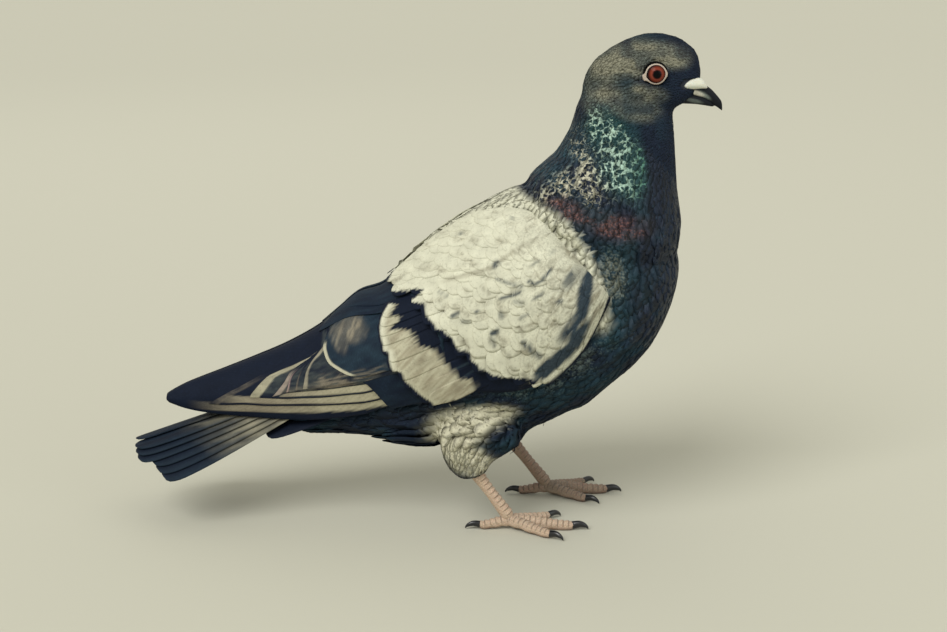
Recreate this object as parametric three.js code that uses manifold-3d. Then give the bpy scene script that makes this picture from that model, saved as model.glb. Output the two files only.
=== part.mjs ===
// A life-size rock pigeon, standing on both feet with its wings folded and its head up, as a still model.
// Millimetres. +X points towards the bill, +Y to the bird's left and +Z up. The origin is on the floor, under
// the middle of the bird. Each part of the body is one closed solid, and neighbours keep a small gap.
import * as THREE from "three";
import { mergeVertices } from "three/addons/utils/BufferGeometryUtils.js";
import Module from "manifold-3d";

const wasm = await Module();
wasm.setup();

// ---------------------------------------------------------------- driving sizes
const GAP = 0.3; // between solids that touch
const FOOT_SPREAD = 24; // each foot's distance from the middle plane
const EYE_RADIUS = 6.2; // of the whole ball, most of it hidden in the head
const EYE_PLACE = { x: 53, y: 7.4, z: 216 };
const IRIS_RADIUS = 4; // the part of the ball that shows
const LID_RING = 0.55; // half the thickness of the ring of skin round the eye
const LID_OUT = 4.7; // from the middle of the eyeball out to that ring
const WING_LENGTH = 211; // from the bend of the wing to its tip, along X
const TAIL_LENGTH = 119; // of the longest tail feather

// ---------------------------------------------------------------- tools
const vec = (x, y, z) => new THREE.Vector3(x, y, z);
const deg = THREE.MathUtils.degToRad;

/** A smooth function through [place, value] pairs, level outside them. */
function through(...pairs) {
  const slope = pairs.map((_, i) => {
    const before = pairs[Math.max(i - 1, 0)];
    const after = pairs[Math.min(i + 1, pairs.length - 1)];
    return (after[1] - before[1]) / (after[0] - before[0]);
  });
  return (x) => {
    if (x <= pairs[0][0]) return pairs[0][1];
    const i = pairs.findIndex((p) => p[0] >= x);
    if (i < 0) return pairs.at(-1)[1];
    const [x0, y0] = pairs[i - 1];
    const [x1, y1] = pairs[i];
    const span = x1 - x0;
    const t = (x - x0) / span;
    const t2 = t * t;
    const t3 = t2 * t;
    return (
      (2 * t3 - 3 * t2 + 1) * y0 +
      (t3 - 2 * t2 + t) * span * slope[i - 1] +
      (3 * t2 - 2 * t3) * y1 +
      (t3 - t2) * span * slope[i]
    );
  };
}

/** A closed geometry as a solid that can be joined and cut. */
function solid(geometry) {
  const bare = geometry.clone();
  bare.deleteAttribute("normal");
  bare.deleteAttribute("uv");
  const merged = mergeVertices(bare, 1e-4);
  return new wasm.Manifold(
    new wasm.Mesh({
      numProp: 3,
      vertProperties: merged.attributes.position.array,
      triVerts: new Uint32Array(merged.index.array),
    }),
  );
}

/** The largest closed body of a solid, as a geometry. */
function geometryOf(shape) {
  const bodies = shape.decompose().sort((a, b) => b.volume() - a.volume());
  const mesh = bodies[0].getMesh();
  const geometry = new THREE.BufferGeometry();
  geometry.setAttribute("position", new THREE.BufferAttribute(mesh.vertProperties, mesh.numProp));
  geometry.setIndex(new THREE.BufferAttribute(mesh.triVerts, 1));
  geometry.computeVertexNormals();
  return geometry;
}

const join = (shapes) => shapes.reduce((whole, shape) => whole.add(shape));

/** Moves every point of a geometry to where place() puts it. */
function warp(geometry, place) {
  const position = geometry.attributes.position;
  for (let i = 0; i < position.count; i += 1) {
    const moved = place(new THREE.Vector3().fromBufferAttribute(position, i));
    position.setXYZ(i, moved.x, moved.y, moved.z);
  }
  return geometry;
}

/**
 * A thin curved sheet. place(u, v, face) gives the point at u along and v across, on its outer face (1) or
 * its inner face (0). Both faces are split into triangles alike, so they never cross where the sheet bends.
 */
function sheet(along, across, place) {
  const points = [];
  const corners = [];
  const row = across + 1;
  const inner = (along + 1) * row;
  for (const face of [1, 0]) {
    for (let i = 0; i <= along; i += 1) {
      for (let j = 0; j <= across; j += 1) points.push(place(i / along, j / across, face));
    }
  }
  const quad = (a, b, c, d) => corners.push(a, c, b, a, d, c);
  for (let i = 0; i < along; i += 1) {
    for (let j = 0; j < across; j += 1) {
      const a = i * row + j;
      quad(a, a + row, a + row + 1, a + 1);
      quad(inner + a, inner + a + 1, inner + a + row + 1, inner + a + row);
    }
    const b = i * row + across;
    quad(i * row + row, i * row, inner + i * row, inner + i * row + row);
    quad(b, b + row, inner + b + row, inner + b);
  }
  for (let j = 0; j < across; j += 1) {
    const c = along * row + j;
    quad(j, j + 1, inner + j + 1, inner + j);
    quad(c + 1, c, inner + c, inner + c + 1);
  }
  return new THREE.BufferGeometry().setFromPoints(points).setIndex(corners);
}

/**
 * A rounded form along a spine that lies in an upright plane. Each station is
 * [x, z, half width, reach above the spine, reach below it]. A round end closes over the given share of the
 * length. Grow makes the form larger all round, for cutting a neighbour clear of it.
 */
function loft(stations, options) {
  const { y = 0, sides = 24, rings = 20, square = 2.2, grow = 0 } = options;
  const { roundStart = 0.02, roundEnd = 0.02 } = options;
  const spine = new THREE.CatmullRomCurve3(stations.map(([x, z]) => vec(x, y, z)));
  const reach = new THREE.CatmullRomCurve3(stations.map((s) => vec(s[2], s[3], s[4])));
  const rounding = (t, share) => Math.sqrt(Math.max(0, 1 - (1 - Math.min(1, t / share)) ** 2));
  const bend = (c) => Math.sign(c) * Math.abs(c) ** (2 / square);
  return warp(new THREE.SphereGeometry(1, sides, rings), (p) => {
    const t = THREE.MathUtils.clamp((p.y + 1) / 2, 0, 1);
    const ahead = spine.getTangent(t);
    const up = vec(-ahead.z, 0, ahead.x);
    const centre = spine.getPoint(t).addScaledVector(ahead, grow * p.y);
    const size = reach.getPoint(t);
    const round = rounding(t, roundStart) * rounding(1 - t, roundEnd);
    const across = Math.hypot(p.x, p.z) || 1;
    const height = p.x / across;
    const pole = Math.abs(p.y) > 1 - 1e-9 ? 0 : 1;
    const reachUp = (height > 0 ? size.y : size.z) * round + grow;
    return centre
      .addScaledVector(up, bend(height) * reachUp * pole)
      .add(vec(0, bend(p.z / across) * (size.x * round + grow) * pole, 0));
  });
}

// ---------------------------------------------------------------- body, neck and head
const TORSO = [
  [-122, 53, 12, 9, 12],
  [-103, 60, 17, 16, 20],
  [-80, 70, 25, 26, 34],
  [-55, 80, 33, 36, 47],
  [-28, 92, 39, 46, 50],
  [0, 103, 41, 50, 53],
  [20, 111, 41, 53, 46],
  [38, 118.5, 39.5, 46, 39.5],
  [53, 125, 37, 34, 31],
  [66.3, 131, 30, 24, 22],
];
// The mantle: the ridge of back feathers that fills the space between the folded wings.
const MANTLE = [
  [-78, 95, 6, 19, 16],
  [-60, 106, 7.5, 21.5, 18],
  [-41, 119, 9, 22, 20],
  [-22, 131.5, 14.5, 22.8, 20],
  [-7, 141, 21, 21.5, 20],
  [9, 148, 27, 21.5, 20],
];
const NECK = [
  [13, 110, 38, 42, 42],
  [23, 133, 40, 42, 43],
  [28.5, 154, 33.5, 37, 42],
  [34, 171, 24.5, 27, 33],
  [38.5, 187, 17.5, 23.5, 26.5],
  [43, 201, 13.3, 24.5, 21.5],
  [46, 212, 10, 17, 13],
];
const HEAD = [
  [21, 202, 11.8, 17.2, 15],
  [33, 208, 12.6, 20.8, 16],
  [48, 210.5, 12.9, 23.4, 15.5],
  [60, 210.5, 11, 22.6, 13.2],
  [68, 209.5, 7.3, 18, 9.2],
  [74.5, 208, 4, 9.8, 5.2],
];

const mantleForm = (grow) =>
  solid(loft(MANTLE, { sides: 16, rings: 12, roundStart: 0.3, roundEnd: 0.15, square: 2, grow }));
/** Grown for cutting, the mantle keeps twice the gap, because the wings' facets bend towards it. */
const torsoForm = (grow = 0) =>
  solid(loft(TORSO, { sides: 26, rings: 20, roundStart: 0.03, roundEnd: 0.3, grow })).add(
    mantleForm(2 * grow),
  );
const neckForm = (grow = 0) =>
  solid(loft(NECK, { sides: 24, rings: 12, roundStart: 0.3, roundEnd: 0.2, square: 2.1, grow }));
const headForm = (grow = 0) =>
  solid(loft(HEAD, { sides: 24, rings: 18, roundStart: 0.5, roundEnd: 0.16, square: 2.1, grow }));

// ---------------------------------------------------------------- bill
const UPPER_BILL = [
  [61, 209.5, 4.8, 4, 3.4],
  [69, 208.6, 4.3, 4, 3.4],
  [75.5, 207, 3.6, 3.2, 3.2],
  [80.4, 204.2, 2.6, 2.3, 2.8],
  [83.9, 200.9, 1.5, 1.5, 2],
  [85.4, 197.8, 0.6, 0.7, 0.6],
];
const LOWER_BILL = [
  [61, 203.6, 4.4, 2.2, 2.8],
  [69.5, 203.2, 3.8, 2.2, 2.6],
  [76, 202, 2.9, 1.8, 1.9],
  [80.5, 200.2, 1.8, 1.2, 1.2],
  [83, 198.8, 0.8, 0.6, 0.6],
];
const CERE = [
  [64.5, 209.4, 1.6, 1.4, 1],
  [68.5, 210, 2.5, 2.8, 2],
  [73.5, 210, 2.7, 3.4, 2.2],
  [78, 208.4, 1.8, 1.8, 1.3],
];

const upperBill = (grow = 0) =>
  solid(loft(UPPER_BILL, { sides: 10, rings: 9, roundEnd: 0.15, grow }));
const lowerBill = (grow = 0) =>
  solid(loft(LOWER_BILL, { sides: 10, rings: 8, roundEnd: 0.15, grow }));
const cere = (grow = 0) =>
  solid(loft(CERE, { y: -3.1, sides: 10, rings: 7, roundStart: 0.4, roundEnd: 0.35, square: 2, grow }));

const SOCKET_FLOOR = 8; // from the middle plane out to the bottom of the eye's socket
const PLUG_LENGTH = 12;

/** A round plug along Y at the eye, from a distance off the middle plane to well outside the head. */
function eyePlug(radius, from) {
  const plug = new THREE.CylinderGeometry(radius, radius, PLUG_LENGTH, 16);
  return solid(plug.translate(EYE_PLACE.x, -from - PLUG_LENGTH / 2, EYE_PLACE.z));
}

const socket = () => eyePlug(IRIS_RADIUS + 2 * LID_RING + 2 * GAP, SOCKET_FLOOR);

function eyeBall() {
  const ball = new THREE.SphereGeometry(EYE_RADIUS, 14, 10).rotateX(Math.PI / 2);
  ball.translate(EYE_PLACE.x, -EYE_PLACE.y, EYE_PLACE.z);
  return solid(ball).intersect(eyePlug(IRIS_RADIUS, SOCKET_FLOOR + GAP));
}

function eyeRing() {
  const radius = IRIS_RADIUS + LID_RING + GAP;
  const ring = new THREE.TorusGeometry(radius, LID_RING, 6, 18).rotateX(Math.PI / 2);
  return solid(ring.translate(EYE_PLACE.x, -EYE_PLACE.y - LID_OUT, EYE_PLACE.z));
}

/** The slit of the nostril, under the front edge of the cere. */
function nostril() {
  const slit = new THREE.SphereGeometry(1, 8, 6).scale(2.4, 1.4, 0.4).rotateY(deg(12));
  return solid(slit.translate(75, -5.2, 208));
}

const flip = (shape) => shape.mirror([0, 1, 0]);
const both = (make, grow) => join([make(grow), flip(make(grow))]);

// ---------------------------------------------------------------- wing: a sheet wrapped round the body
const WING_FRONT = 32;
const WING_TIP = WING_FRONT - WING_LENGTH;
const LOW_EDGE = deg(124); // the wing's lower edge, measured round the body from the top
const WIDEST = 0.42; // where the wing stands out widest, as a share of its height
const wingTop = through(
  [WING_TIP, 60.5], [-174, 63.5], [-168, 66.5], [-150, 73.5], [-135, 79.5], [-120, 86],
  [-105, 94.5], [-95, 102.5], [-85, 111.5], [-73, 118], [-47, 141], [-27, 153],
  [0, 158], [12, 150.5], [17, 146], [24, 138.5], [29.5, 130], [33, 122],
);
const wingLow = through(
  [WING_TIP, 57], [-170, 54], [-160, 52.4], [-140, 51.3], [-110, 51], [-84, 55], [-70, 60],
  [-50, 65], [-30, 68.6], [-12, 70], [0, 74], [10, 81.3], [19.5, 91], [26, 101], [33, 112],
);
const wingBreadth = through(
  [WING_TIP, 4.5], [-165, 9.2], [-150, 14.5], [-130, 20.5], [-100, 29.5], [-75, 38],
  [-50, 45], [-25, 49.5], [0, 50], [18, 47.5], [27, 43.5], [33, 38],
);
const topEdge = through(
  [WING_TIP, deg(20)], [-150, deg(9)], [-40, deg(7)], [-20, deg(14)],
  [0, deg(28)], [18, deg(50)], [33, deg(75)],
);

/** The wing's outer surface at x, at an angle round the body from the top, raised by lift. */
function wingSurface(x, angle, lift = 0) {
  const high = wingTop(x);
  const low = wingLow(x);
  const middle = THREE.MathUtils.lerp(low, high, WIDEST);
  const reach = angle < Math.PI / 2 ? high - middle : (middle - low) / -Math.cos(LOW_EDGE);
  const outward = vec(0, -Math.sin(angle), Math.cos(angle));
  const y = -wingBreadth(x) * Math.sin(angle);
  return vec(x, y, middle + reach * Math.cos(angle)).addScaledVector(outward, lift);
}

/** The wing's length round the body at x, from its lower edge to its upper edge. */
function wingGirth(x) {
  const steps = 24;
  let length = 0;
  for (let i = 0; i < steps; i += 1) {
    const [from, to] = [i, i + 1].map((n) => THREE.MathUtils.lerp(LOW_EDGE, topEdge(x), n / steps));
    length += wingSurface(x, from).distanceTo(wingSurface(x, to));
  }
  return length;
}

/** A point of the wing by its distance up from the lower edge, as if the wing were unrolled flat. */
function onWing(x, up, lift) {
  const share = THREE.MathUtils.clamp(up / wingGirth(x), 0, 1);
  return wingSurface(x, THREE.MathUtils.lerp(LOW_EDGE, topEdge(x), share), lift);
}

/** The arm of the wing, from which the feathers grow. Towards the back it sinks in under the rows. */
const CORE_BACK = -68;
const coreLift = through([CORE_BACK, -4.2], [-45, -2.8], [-20, -1.4], [WING_FRONT, 0]);
const coreDepth = through([CORE_BACK, 6], [-60, 7.4], [-30, 11], [WING_FRONT, 14.5]);
const CORE_EDGE = deg(5); // how far the arm keeps inside the wing's two edges

function wingCore() {
  return sheet(12, 7, (u, v, face) => {
    const x = THREE.MathUtils.lerp(WING_FRONT - 1, CORE_BACK, u);
    const inset = CORE_EDGE * u;
    const angle = THREE.MathUtils.lerp(LOW_EDGE - inset, topEdge(x) + inset, v);
    return wingSurface(x, angle, face ? coreLift(x) : -coreDepth(x));
  });
}

/** The share of a vane's width at u along it: a narrow root, a broad blade and a rounded tip. */
const vaneOutline = through([0, 0.4], [0.3, 0.8], [0.6, 1], [0.82, 0.93], [0.94, 0.68], [1, 0.28]);
const VANE_THICK = 0.66;

/**
 * One vane on the unrolled wing. Root and tip are [x, distance up]. Lift(share, x) is the height of its shaft.
 * Slope(x) is how fast it sinks upwards across its width, which puts its upper edge under the next one.
 */
function wingVane({ root, tip, width, lift, slope, steps = 5 }) {
  const from = new THREE.Vector2(...root);
  const axis = new THREE.Vector2(...tip).sub(from);
  const across = new THREE.Vector2(axis.y, -axis.x).normalize();
  return sheet(steps, 1, (u, v, face) => {
    const share = 1 - (1 - u) ** 1.5;
    const shaft = from.clone().addScaledVector(axis, share);
    const room = wingGirth(shaft.x) - shaft.y;
    const aside = THREE.MathUtils.clamp((v - 0.5) * width * vaneOutline(share), -shaft.y, room);
    const place = shaft.clone().addScaledVector(across, aside);
    const half = face ? VANE_THICK / 2 : -VANE_THICK / 2;
    return onWing(place.x, place.y, lift(share, place.x) - slope(place.x) * aside + half);
  });
}

/** A row of vanes from low on the wing to high: tip and rise are functions of the share of the way up. */
function vaneRow(count, { tip, length, rise, width, lift, slope, steps }) {
  return Array.from({ length: count }, (_, i) => {
    const share = i / (count - 1);
    const [x, up] = tip(share);
    const root = [x + length * Math.cos(rise(share)), up + length * Math.sin(rise(share))];
    return wingVane({ root, tip: [x, up], width, lift, slope, steps });
  });
}

/** The ends of a row of feathers, as [x, distance up] at a share of the way up the row. */
const rowEnd = (xs, ups) => (share) => [xs(share), ups(share)];
const primaryEnd = rowEnd(
  through(
    [0, -178], [0.12, -169], [0.23, -159], [0.34, -146.5], [0.45, -134.5],
    [0.56, -122.5], [0.67, -113], [0.78, -105], [1, -92],
  ),
  through(
    [0, 4], [0.12, 8.5], [0.23, 14.5], [0.34, 20], [0.45, 27.5],
    [0.56, 34.5], [0.67, 40], [0.78, 44], [1, 48],
  ),
);
const secondaryEnd = rowEnd(
  through([0, -68], [0.2, -79], [0.4, -93], [0.6, -101], [0.8, -101], [1, -92]),
  through([0, 5.5], [0.2, 14], [0.4, 24], [0.6, 36], [0.8, 48], [1, 57]),
);
const greaterEnd = rowEnd(
  through([0, -49], [0.3, -65], [0.6, -73], [1, -75]),
  through([0, 5], [0.3, 19.5], [0.6, 37], [1, 55]),
);
const medianEnd = rowEnd(
  through([0, -14], [0.2, -30], [0.4, -41], [0.6, -48], [0.8, -53], [1, -58]),
  through([0, 5.5], [0.2, 13], [0.4, 24], [0.6, 36], [0.8, 46], [1, 55]),
);
const scapularEnd = rowEnd(through([0, -53], [1, -80]), through([0, 57], [1, 70]));

const ramp = (from, to) => (share) => THREE.MathUtils.lerp(from, to, share);
const same = (value) => () => value;

const PRIMARIES = 10;
const primaryWidth = through([0, 8], [0.5, 14]);
const primaryLift = through([WING_TIP, -0.8], [-125, -2.2], [-105, -3.8], [-90, -5], [-50, -7]);
const primarySlope = through([WING_TIP, 0.5], [-150, 0.44], [-120, 0.34], [-90, 0.32], [-50, 0.46]);

/** The long outer flight feathers, which spread like a closed fan from under the secondaries. */
function primaries() {
  return Array.from({ length: PRIMARIES }, (_, i) => {
    const share = i / (PRIMARIES - 1);
    return wingVane({
      root: [-50 + 4 * share, 5 + 24 * share],
      tip: primaryEnd(share),
      width: primaryWidth(share),
      lift: (u, x) => primaryLift(x),
      slope: primarySlope,
    });
  });
}

const COVERT_RISE = deg(16); // how steeply a covert rises from its tip to its root
const COVERT_SLOPE = same(0.16);
const SECONDARY_ROW = {
  tip: secondaryEnd,
  length: 56,
  rise: through([0, deg(5)], [1, deg(20)]),
  width: 13,
  lift: ramp(-5.4, -0.9),
  slope: same(0.19),
};
const GREATER_ROW = {
  tip: greaterEnd,
  length: 36,
  rise: same(COVERT_RISE),
  width: 12.5,
  lift: ramp(-4.6, 0.8),
  slope: COVERT_SLOPE,
  steps: 4,
};
const MEDIAN_ROW = {
  tip: medianEnd,
  length: 25,
  rise: same(COVERT_RISE),
  width: 12,
  lift: ramp(-4.4, 0.8),
  slope: COVERT_SLOPE,
  steps: 4,
};
const SCAPULAR_ROW = {
  tip: scapularEnd,
  length: 38,
  rise: same(deg(24)),
  width: 13,
  lift: ramp(-4, 2),
  slope: COVERT_SLOPE,
  steps: 4,
};

function wingForm() {
  const feathers = [
    ...primaries(),
    ...vaneRow(9, SECONDARY_ROW),
    ...vaneRow(8, GREATER_ROW),
    ...vaneRow(8, MEDIAN_ROW),
    ...vaneRow(4, SCAPULAR_ROW),
  ];
  return join([wingCore(), ...feathers].map(solid));
}

// ---------------------------------------------------------------- tail
const TAIL_ROOT = { x: -84, z: 77 };
const TAIL_SLOPE = deg(19.5);
const TAIL_ARCH = 0.0145; // how much lower the tail is across, for each square millimetre off the middle
const TAIL_MIDDLE = 0.4; // how far the feathers of a side keep off the middle

/** A point of the tail: along it from the root, across it, and raised. It is arched like a low roof. */
function tailPoint(along, across, lift) {
  const arch = TAIL_ARCH * across * across;
  const back = vec(-Math.cos(TAIL_SLOPE), 0, -Math.sin(TAIL_SLOPE));
  const up = vec(-Math.sin(TAIL_SLOPE), 0, Math.cos(TAIL_SLOPE));
  const root = vec(TAIL_ROOT.x, across, TAIL_ROOT.z);
  return root.addScaledVector(back, along).addScaledVector(up, lift - arch);
}

/**
 * A tail feather on one side. Its shaft runs from one distance off the middle to another, its edges keep on
 * their own side of the middle by reachOver, and lift is the height of its layer.
 */
function tailVane({ side, start, end, shaft, width, lift, reachOver = -TAIL_MIDDLE, steps = 5 }) {
  return sheet(steps, 1, (u, v, face) => {
    const share = 1 - (1 - u) ** 1.6;
    const middle = THREE.MathUtils.lerp(shaft[0], shaft[1], share);
    const half = (width / 2) * vaneOutline(share);
    const edge = (side > 0) === v > 0.5 ? middle + half : Math.max(middle - half, -reachOver);
    const along = THREE.MathUtils.lerp(start, end, share);
    return tailPoint(along, side * edge, lift(share) + (face ? VANE_THICK / 2 : -VANE_THICK / 2));
  });
}

const TAIL_PAIRS = 6;
const TAIL_LAYER = 1.3; // from one pair's height to the next
const TAIL_STUMP = 52; // length of the fleshy root

function tailForm() {
  const stumpWidth = through([0, 9], [30, 10.5], [TAIL_STUMP, 9]);
  const stump = sheet(5, 6, (u, v, face) => {
    const along = u * TAIL_STUMP;
    return tailPoint(along, (2 * v - 1) * stumpWidth(along), face ? -1.2 : -9 + 1.5 * u);
  });
  const feathers = [];
  for (let pair = 0; pair < TAIL_PAIRS; pair += 1) {
    for (const side of [1, -1]) {
      const layer = pair === 0 && side < 0 ? 0 : pair + 1;
      feathers.push(
        tailVane({
          side,
          start: 30,
          end: TAIL_LENGTH - 0.45 * pair * pair,
          shaft: [1.5 + 1.4 * pair, 4 + 3.4 * pair],
          width: 17,
          lift: () => -0.7 - TAIL_LAYER * layer,
          reachOver: pair === 0 && side < 0 ? 4 : -TAIL_MIDDLE,
        }),
      );
    }
  }
  const coverts = [-1, 1].flatMap((side) =>
    [0, 1].map((row) =>
      tailVane({
        side,
        start: 24,
        end: 60 + 9 * row,
        shaft: [3 + 4 * row, 4.5 + 5.5 * (1 - row)],
        width: 12,
        lift: (share) => THREE.MathUtils.lerp(-2.5, 0.9 - 0.95 * row, share),
        steps: 4,
      }),
    ),
  );
  return join([stump, ...feathers, ...coverts].map(solid));
}

// ---------------------------------------------------------------- legs and feet
const PLATE_RISE = 0.5; // how far a plate's edge stands off the toe or shank
const PLATE_REACH = 0.6; // how far a plate's edge hangs over the next, as a share of the step between them

/**
 * A tube along any curve, its radius a function of the share of its length. With plates, its upper side is
 * stepped like a saw into that many overlapping plates, each standing proud at its far edge.
 */
function tube(points, radius, { sides = 10, rings = 12, plates = 0, grow = 0 }) {
  const curve = new THREE.CatmullRomCurve3(points);
  const count = plates ? plates * 2 : rings;
  return warp(new THREE.SphereGeometry(1, sides, count), (p) => {
    const step = Math.round((Math.acos(-p.y) / Math.PI) * count);
    const proud = plates && step % 2 ? 1 : 0;
    const t = Math.min(1, (step + PLATE_REACH * proud) / count);
    const ahead = curve.getTangent(t);
    const side = vec(-ahead.y, ahead.x, 0).normalize();
    const up = new THREE.Vector3().crossVectors(ahead, side);
    const across = Math.hypot(p.x, p.z) || 1;
    const height = p.x / across;
    const pole = step % count ? 1 : 0;
    const size = (radius(t) + grow + PLATE_RISE * proud * Math.max(0, height)) * pole;
    return curve
      .getPoint(t)
      .addScaledVector(ahead, grow * p.y)
      .addScaledVector(up, height * size)
      .addScaledVector(side, (p.z / across) * size);
  });
}

const FLOOR = solid(new THREE.BoxGeometry(400, 400, 100).translate(0, 0, -50));
// Each toe's direction from straight ahead, length up to the claw, half thickness, and plates on top.
const TOES = [
  { name: "inner", angle: 32, length: 23, thick: 2.3, plates: 5 },
  { name: "middle", angle: 4, length: 31, thick: 2.6, plates: 7 },
  { name: "outer", angle: -36, length: 24, thick: 2.3, plates: 5 },
  { name: "hind", angle: 176, length: 15, thick: 2.2, plates: 4 },
];
// Each foot's side and place, and how far behind the ankle its heel is.
const LEGS = [
  { name: "right", side: -1, x: -13, heel: 20 },
  { name: "left", side: 1, x: 7, heel: 22 },
];
const ANKLE_HEIGHT = 5;
const HEEL_HEIGHT = 33;

const footPoint = (leg, x, z, y = 0) => vec(leg.x + x, leg.side * (FOOT_SPREAD + y), z);

function shank(leg, grow = 0) {
  const points = [
    footPoint(leg, -leg.heel, HEEL_HEIGHT),
    footPoint(leg, -leg.heel * 0.5, 19),
    footPoint(leg, 0, ANKLE_HEIGHT),
  ];
  const radius = through([0, 3.4], [0.15, 3.2], [0.5, 2.6], [0.9, 3], [1, 2.8]);
  return solid(tube(points, radius, { plates: 7, grow }));
}

/** A line out from the ankle, of [distance, height] points. A positive angle turns towards the middle. */
function outFrom(leg, angle, points) {
  const turn = deg(angle);
  return points.map(([distance, z]) =>
    footPoint(leg, Math.cos(turn) * distance, z, -Math.sin(turn) * distance),
  );
}

function toe(leg, { angle, length, thick, plates }, grow = 0) {
  const line = outFrom(leg, angle, [
    [-1, ANKLE_HEIGHT - 0.6],
    [length * 0.35, 3.4],
    [length * 0.7, 2.3],
    [length, 2],
  ]);
  const radius = through([0, thick + 0.4], [0.5, thick], [0.9, thick * 0.8], [1, thick * 0.7]);
  return solid(tube(line, radius, { sides: 8, plates, grow }));
}

function clawForm(leg, { angle, length, thick }) {
  const line = outFrom(leg, angle, [
    [length - 1.5, 2.2],
    [length + 2.5, 2.9],
    [length + 5.5, 1.9],
    [length + 6.6, 0.5],
  ]);
  const radius = through([0, thick * 0.62], [0.6, thick * 0.42], [1, 0.3]);
  return solid(tube(line, radius, { sides: 6, rings: 6 }));
}

const footForm = (leg, grow = 0) =>
  join([shank(leg, grow), ...TOES.map((one) => toe(leg, one, grow))]).subtract(FLOOR);

/** The feathered thigh: wide in the flank, narrow above the bare shank. */
function thighForm(leg) {
  const stations = [
    [leg.x - leg.heel + 12, 60, 12, 22, 25],
    [leg.x - leg.heel + 5, 47, 11.5, 18, 20.5],
    [leg.x - leg.heel + 1.5, 36, 9.5, 11, 13.5],
    [leg.x - leg.heel + 3, 25, 5.5, 6, 6.5],
  ];
  const y = leg.side * FOOT_SPREAD;
  return solid(loft(stations, { y, sides: 14, rings: 10, roundEnd: 0.1, roundStart: 0.2 }));
}

// ---------------------------------------------------------------- the parts, cut clear of one another
const COLOURS = {
  slate: { color: 0x2b3848, roughness: 0.6 },
  pale: { color: 0xcfcdb4, roughness: 0.75 },
  dark: { color: 0x1d2838, roughness: 0.6 },
  horn: { color: 0x15191f, roughness: 0.35 },
  cere: { color: 0xe2e0d0, roughness: 0.7 },
  lid: { color: 0xd8d2c6, roughness: 0.7 },
  eye: { color: 0xb4452c, roughness: 0.1 },
  skin: { color: 0xc9a58f, roughness: 0.6 },
};
const pigeon = new THREE.Group();

function part(name, finish, shape) {
  const mesh = new THREE.Mesh(geometryOf(shape), new THREE.MeshStandardMaterial(COLOURS[finish]));
  mesh.name = name;
  pigeon.add(mesh);
}

const torsoCut = torsoForm(GAP);
const neckCut = neckForm(GAP);
const headCut = headForm(GAP);

part("head", "slate", headForm().subtract(both(socket)));
part("neck", "slate", neckForm().subtract(headCut).subtract(torsoCut));
part("torso", "slate", torsoForm());
part("bill_lower", "horn", lowerBill().subtract(headCut));

const billCut = headCut.add(lowerBill(GAP));
part("bill_upper", "horn", upperBill().subtract(billCut).subtract(both(cere, GAP)));

const cereShape = cere().subtract(billCut).subtract(nostril());
const wingShape = wingForm().subtract(torsoCut).subtract(neckCut);
for (const [side, turn] of [["right", (shape) => shape], ["left", flip]]) {
  part(`cere_${side}`, "cere", turn(cereShape));
  part(`eye_${side}`, "eye", turn(eyeBall()));
  part(`eyelid_${side}`, "lid", turn(eyeRing()));
  part(`wing_${side}`, "pale", turn(wingShape));
}
part("tail", "dark", tailForm().subtract(torsoCut));

for (const leg of LEGS) {
  const thigh = thighForm(leg).subtract(torsoCut).subtract(footForm(leg, GAP));
  part(`thigh_${leg.name}`, "pale", thigh);
  part(`foot_${leg.name}`, "skin", footForm(leg));
  for (const one of TOES) {
    const claw = clawForm(leg, one).subtract(FLOOR).subtract(toe(leg, one, GAP));
    part(`claw_${leg.name}_${one.name}`, "horn", claw);
  }
}

// The origin goes under the middle of the bird's own box.
const box = new THREE.Box3().setFromObject(pigeon);
const middle = box.getCenter(vec(0, 0, 0)).setZ(box.min.z);
for (const mesh of pigeon.children) mesh.position.copy(middle).negate();

export default pigeon;
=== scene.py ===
# %% [markdown]
# # A rock pigeon, standing
# This script dresses a packed set of plain solids as a life-size pigeon. The solids give the body's shape,
# the pose and every size. On top of them come a skin, some ten thousand small body feathers, the long
# feathers of wings and tail, and the bare parts: bill, cere, eyes, lids, feet and claws. It is laid out in
# cells. Each cell makes one thing and prints what it made.

# %% Load the solids as a fixed frame
import math

import bmesh
import bpy
import numpy as np
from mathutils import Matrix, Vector
from mathutils.bvhtree import BVHTree


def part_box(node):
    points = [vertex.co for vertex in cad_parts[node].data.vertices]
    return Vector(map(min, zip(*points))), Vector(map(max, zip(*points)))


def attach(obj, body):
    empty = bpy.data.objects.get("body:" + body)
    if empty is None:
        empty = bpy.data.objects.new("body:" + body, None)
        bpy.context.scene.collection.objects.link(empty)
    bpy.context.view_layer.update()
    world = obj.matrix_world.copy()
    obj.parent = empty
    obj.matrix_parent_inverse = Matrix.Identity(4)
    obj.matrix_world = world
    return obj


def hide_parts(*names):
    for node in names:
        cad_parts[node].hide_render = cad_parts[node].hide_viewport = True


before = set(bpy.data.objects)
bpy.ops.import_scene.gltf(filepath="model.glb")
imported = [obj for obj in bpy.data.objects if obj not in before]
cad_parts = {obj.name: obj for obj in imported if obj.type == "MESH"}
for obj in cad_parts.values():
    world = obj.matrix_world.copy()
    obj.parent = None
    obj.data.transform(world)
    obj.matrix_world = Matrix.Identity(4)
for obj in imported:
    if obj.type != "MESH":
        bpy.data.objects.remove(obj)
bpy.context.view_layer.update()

# %% [markdown]
# ## One ruler for everything
# The bird was laid out in millimetres from a point between its feet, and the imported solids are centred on
# their own box instead. The right eye is known in both, so its place gives the shift between the two.
# Every number could be written in metres straight away, but a feather is easier to think of in
# millimetres. So all the shapes are worked out in the bird's own layout, and go through `metres` once, at
# the end.

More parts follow.
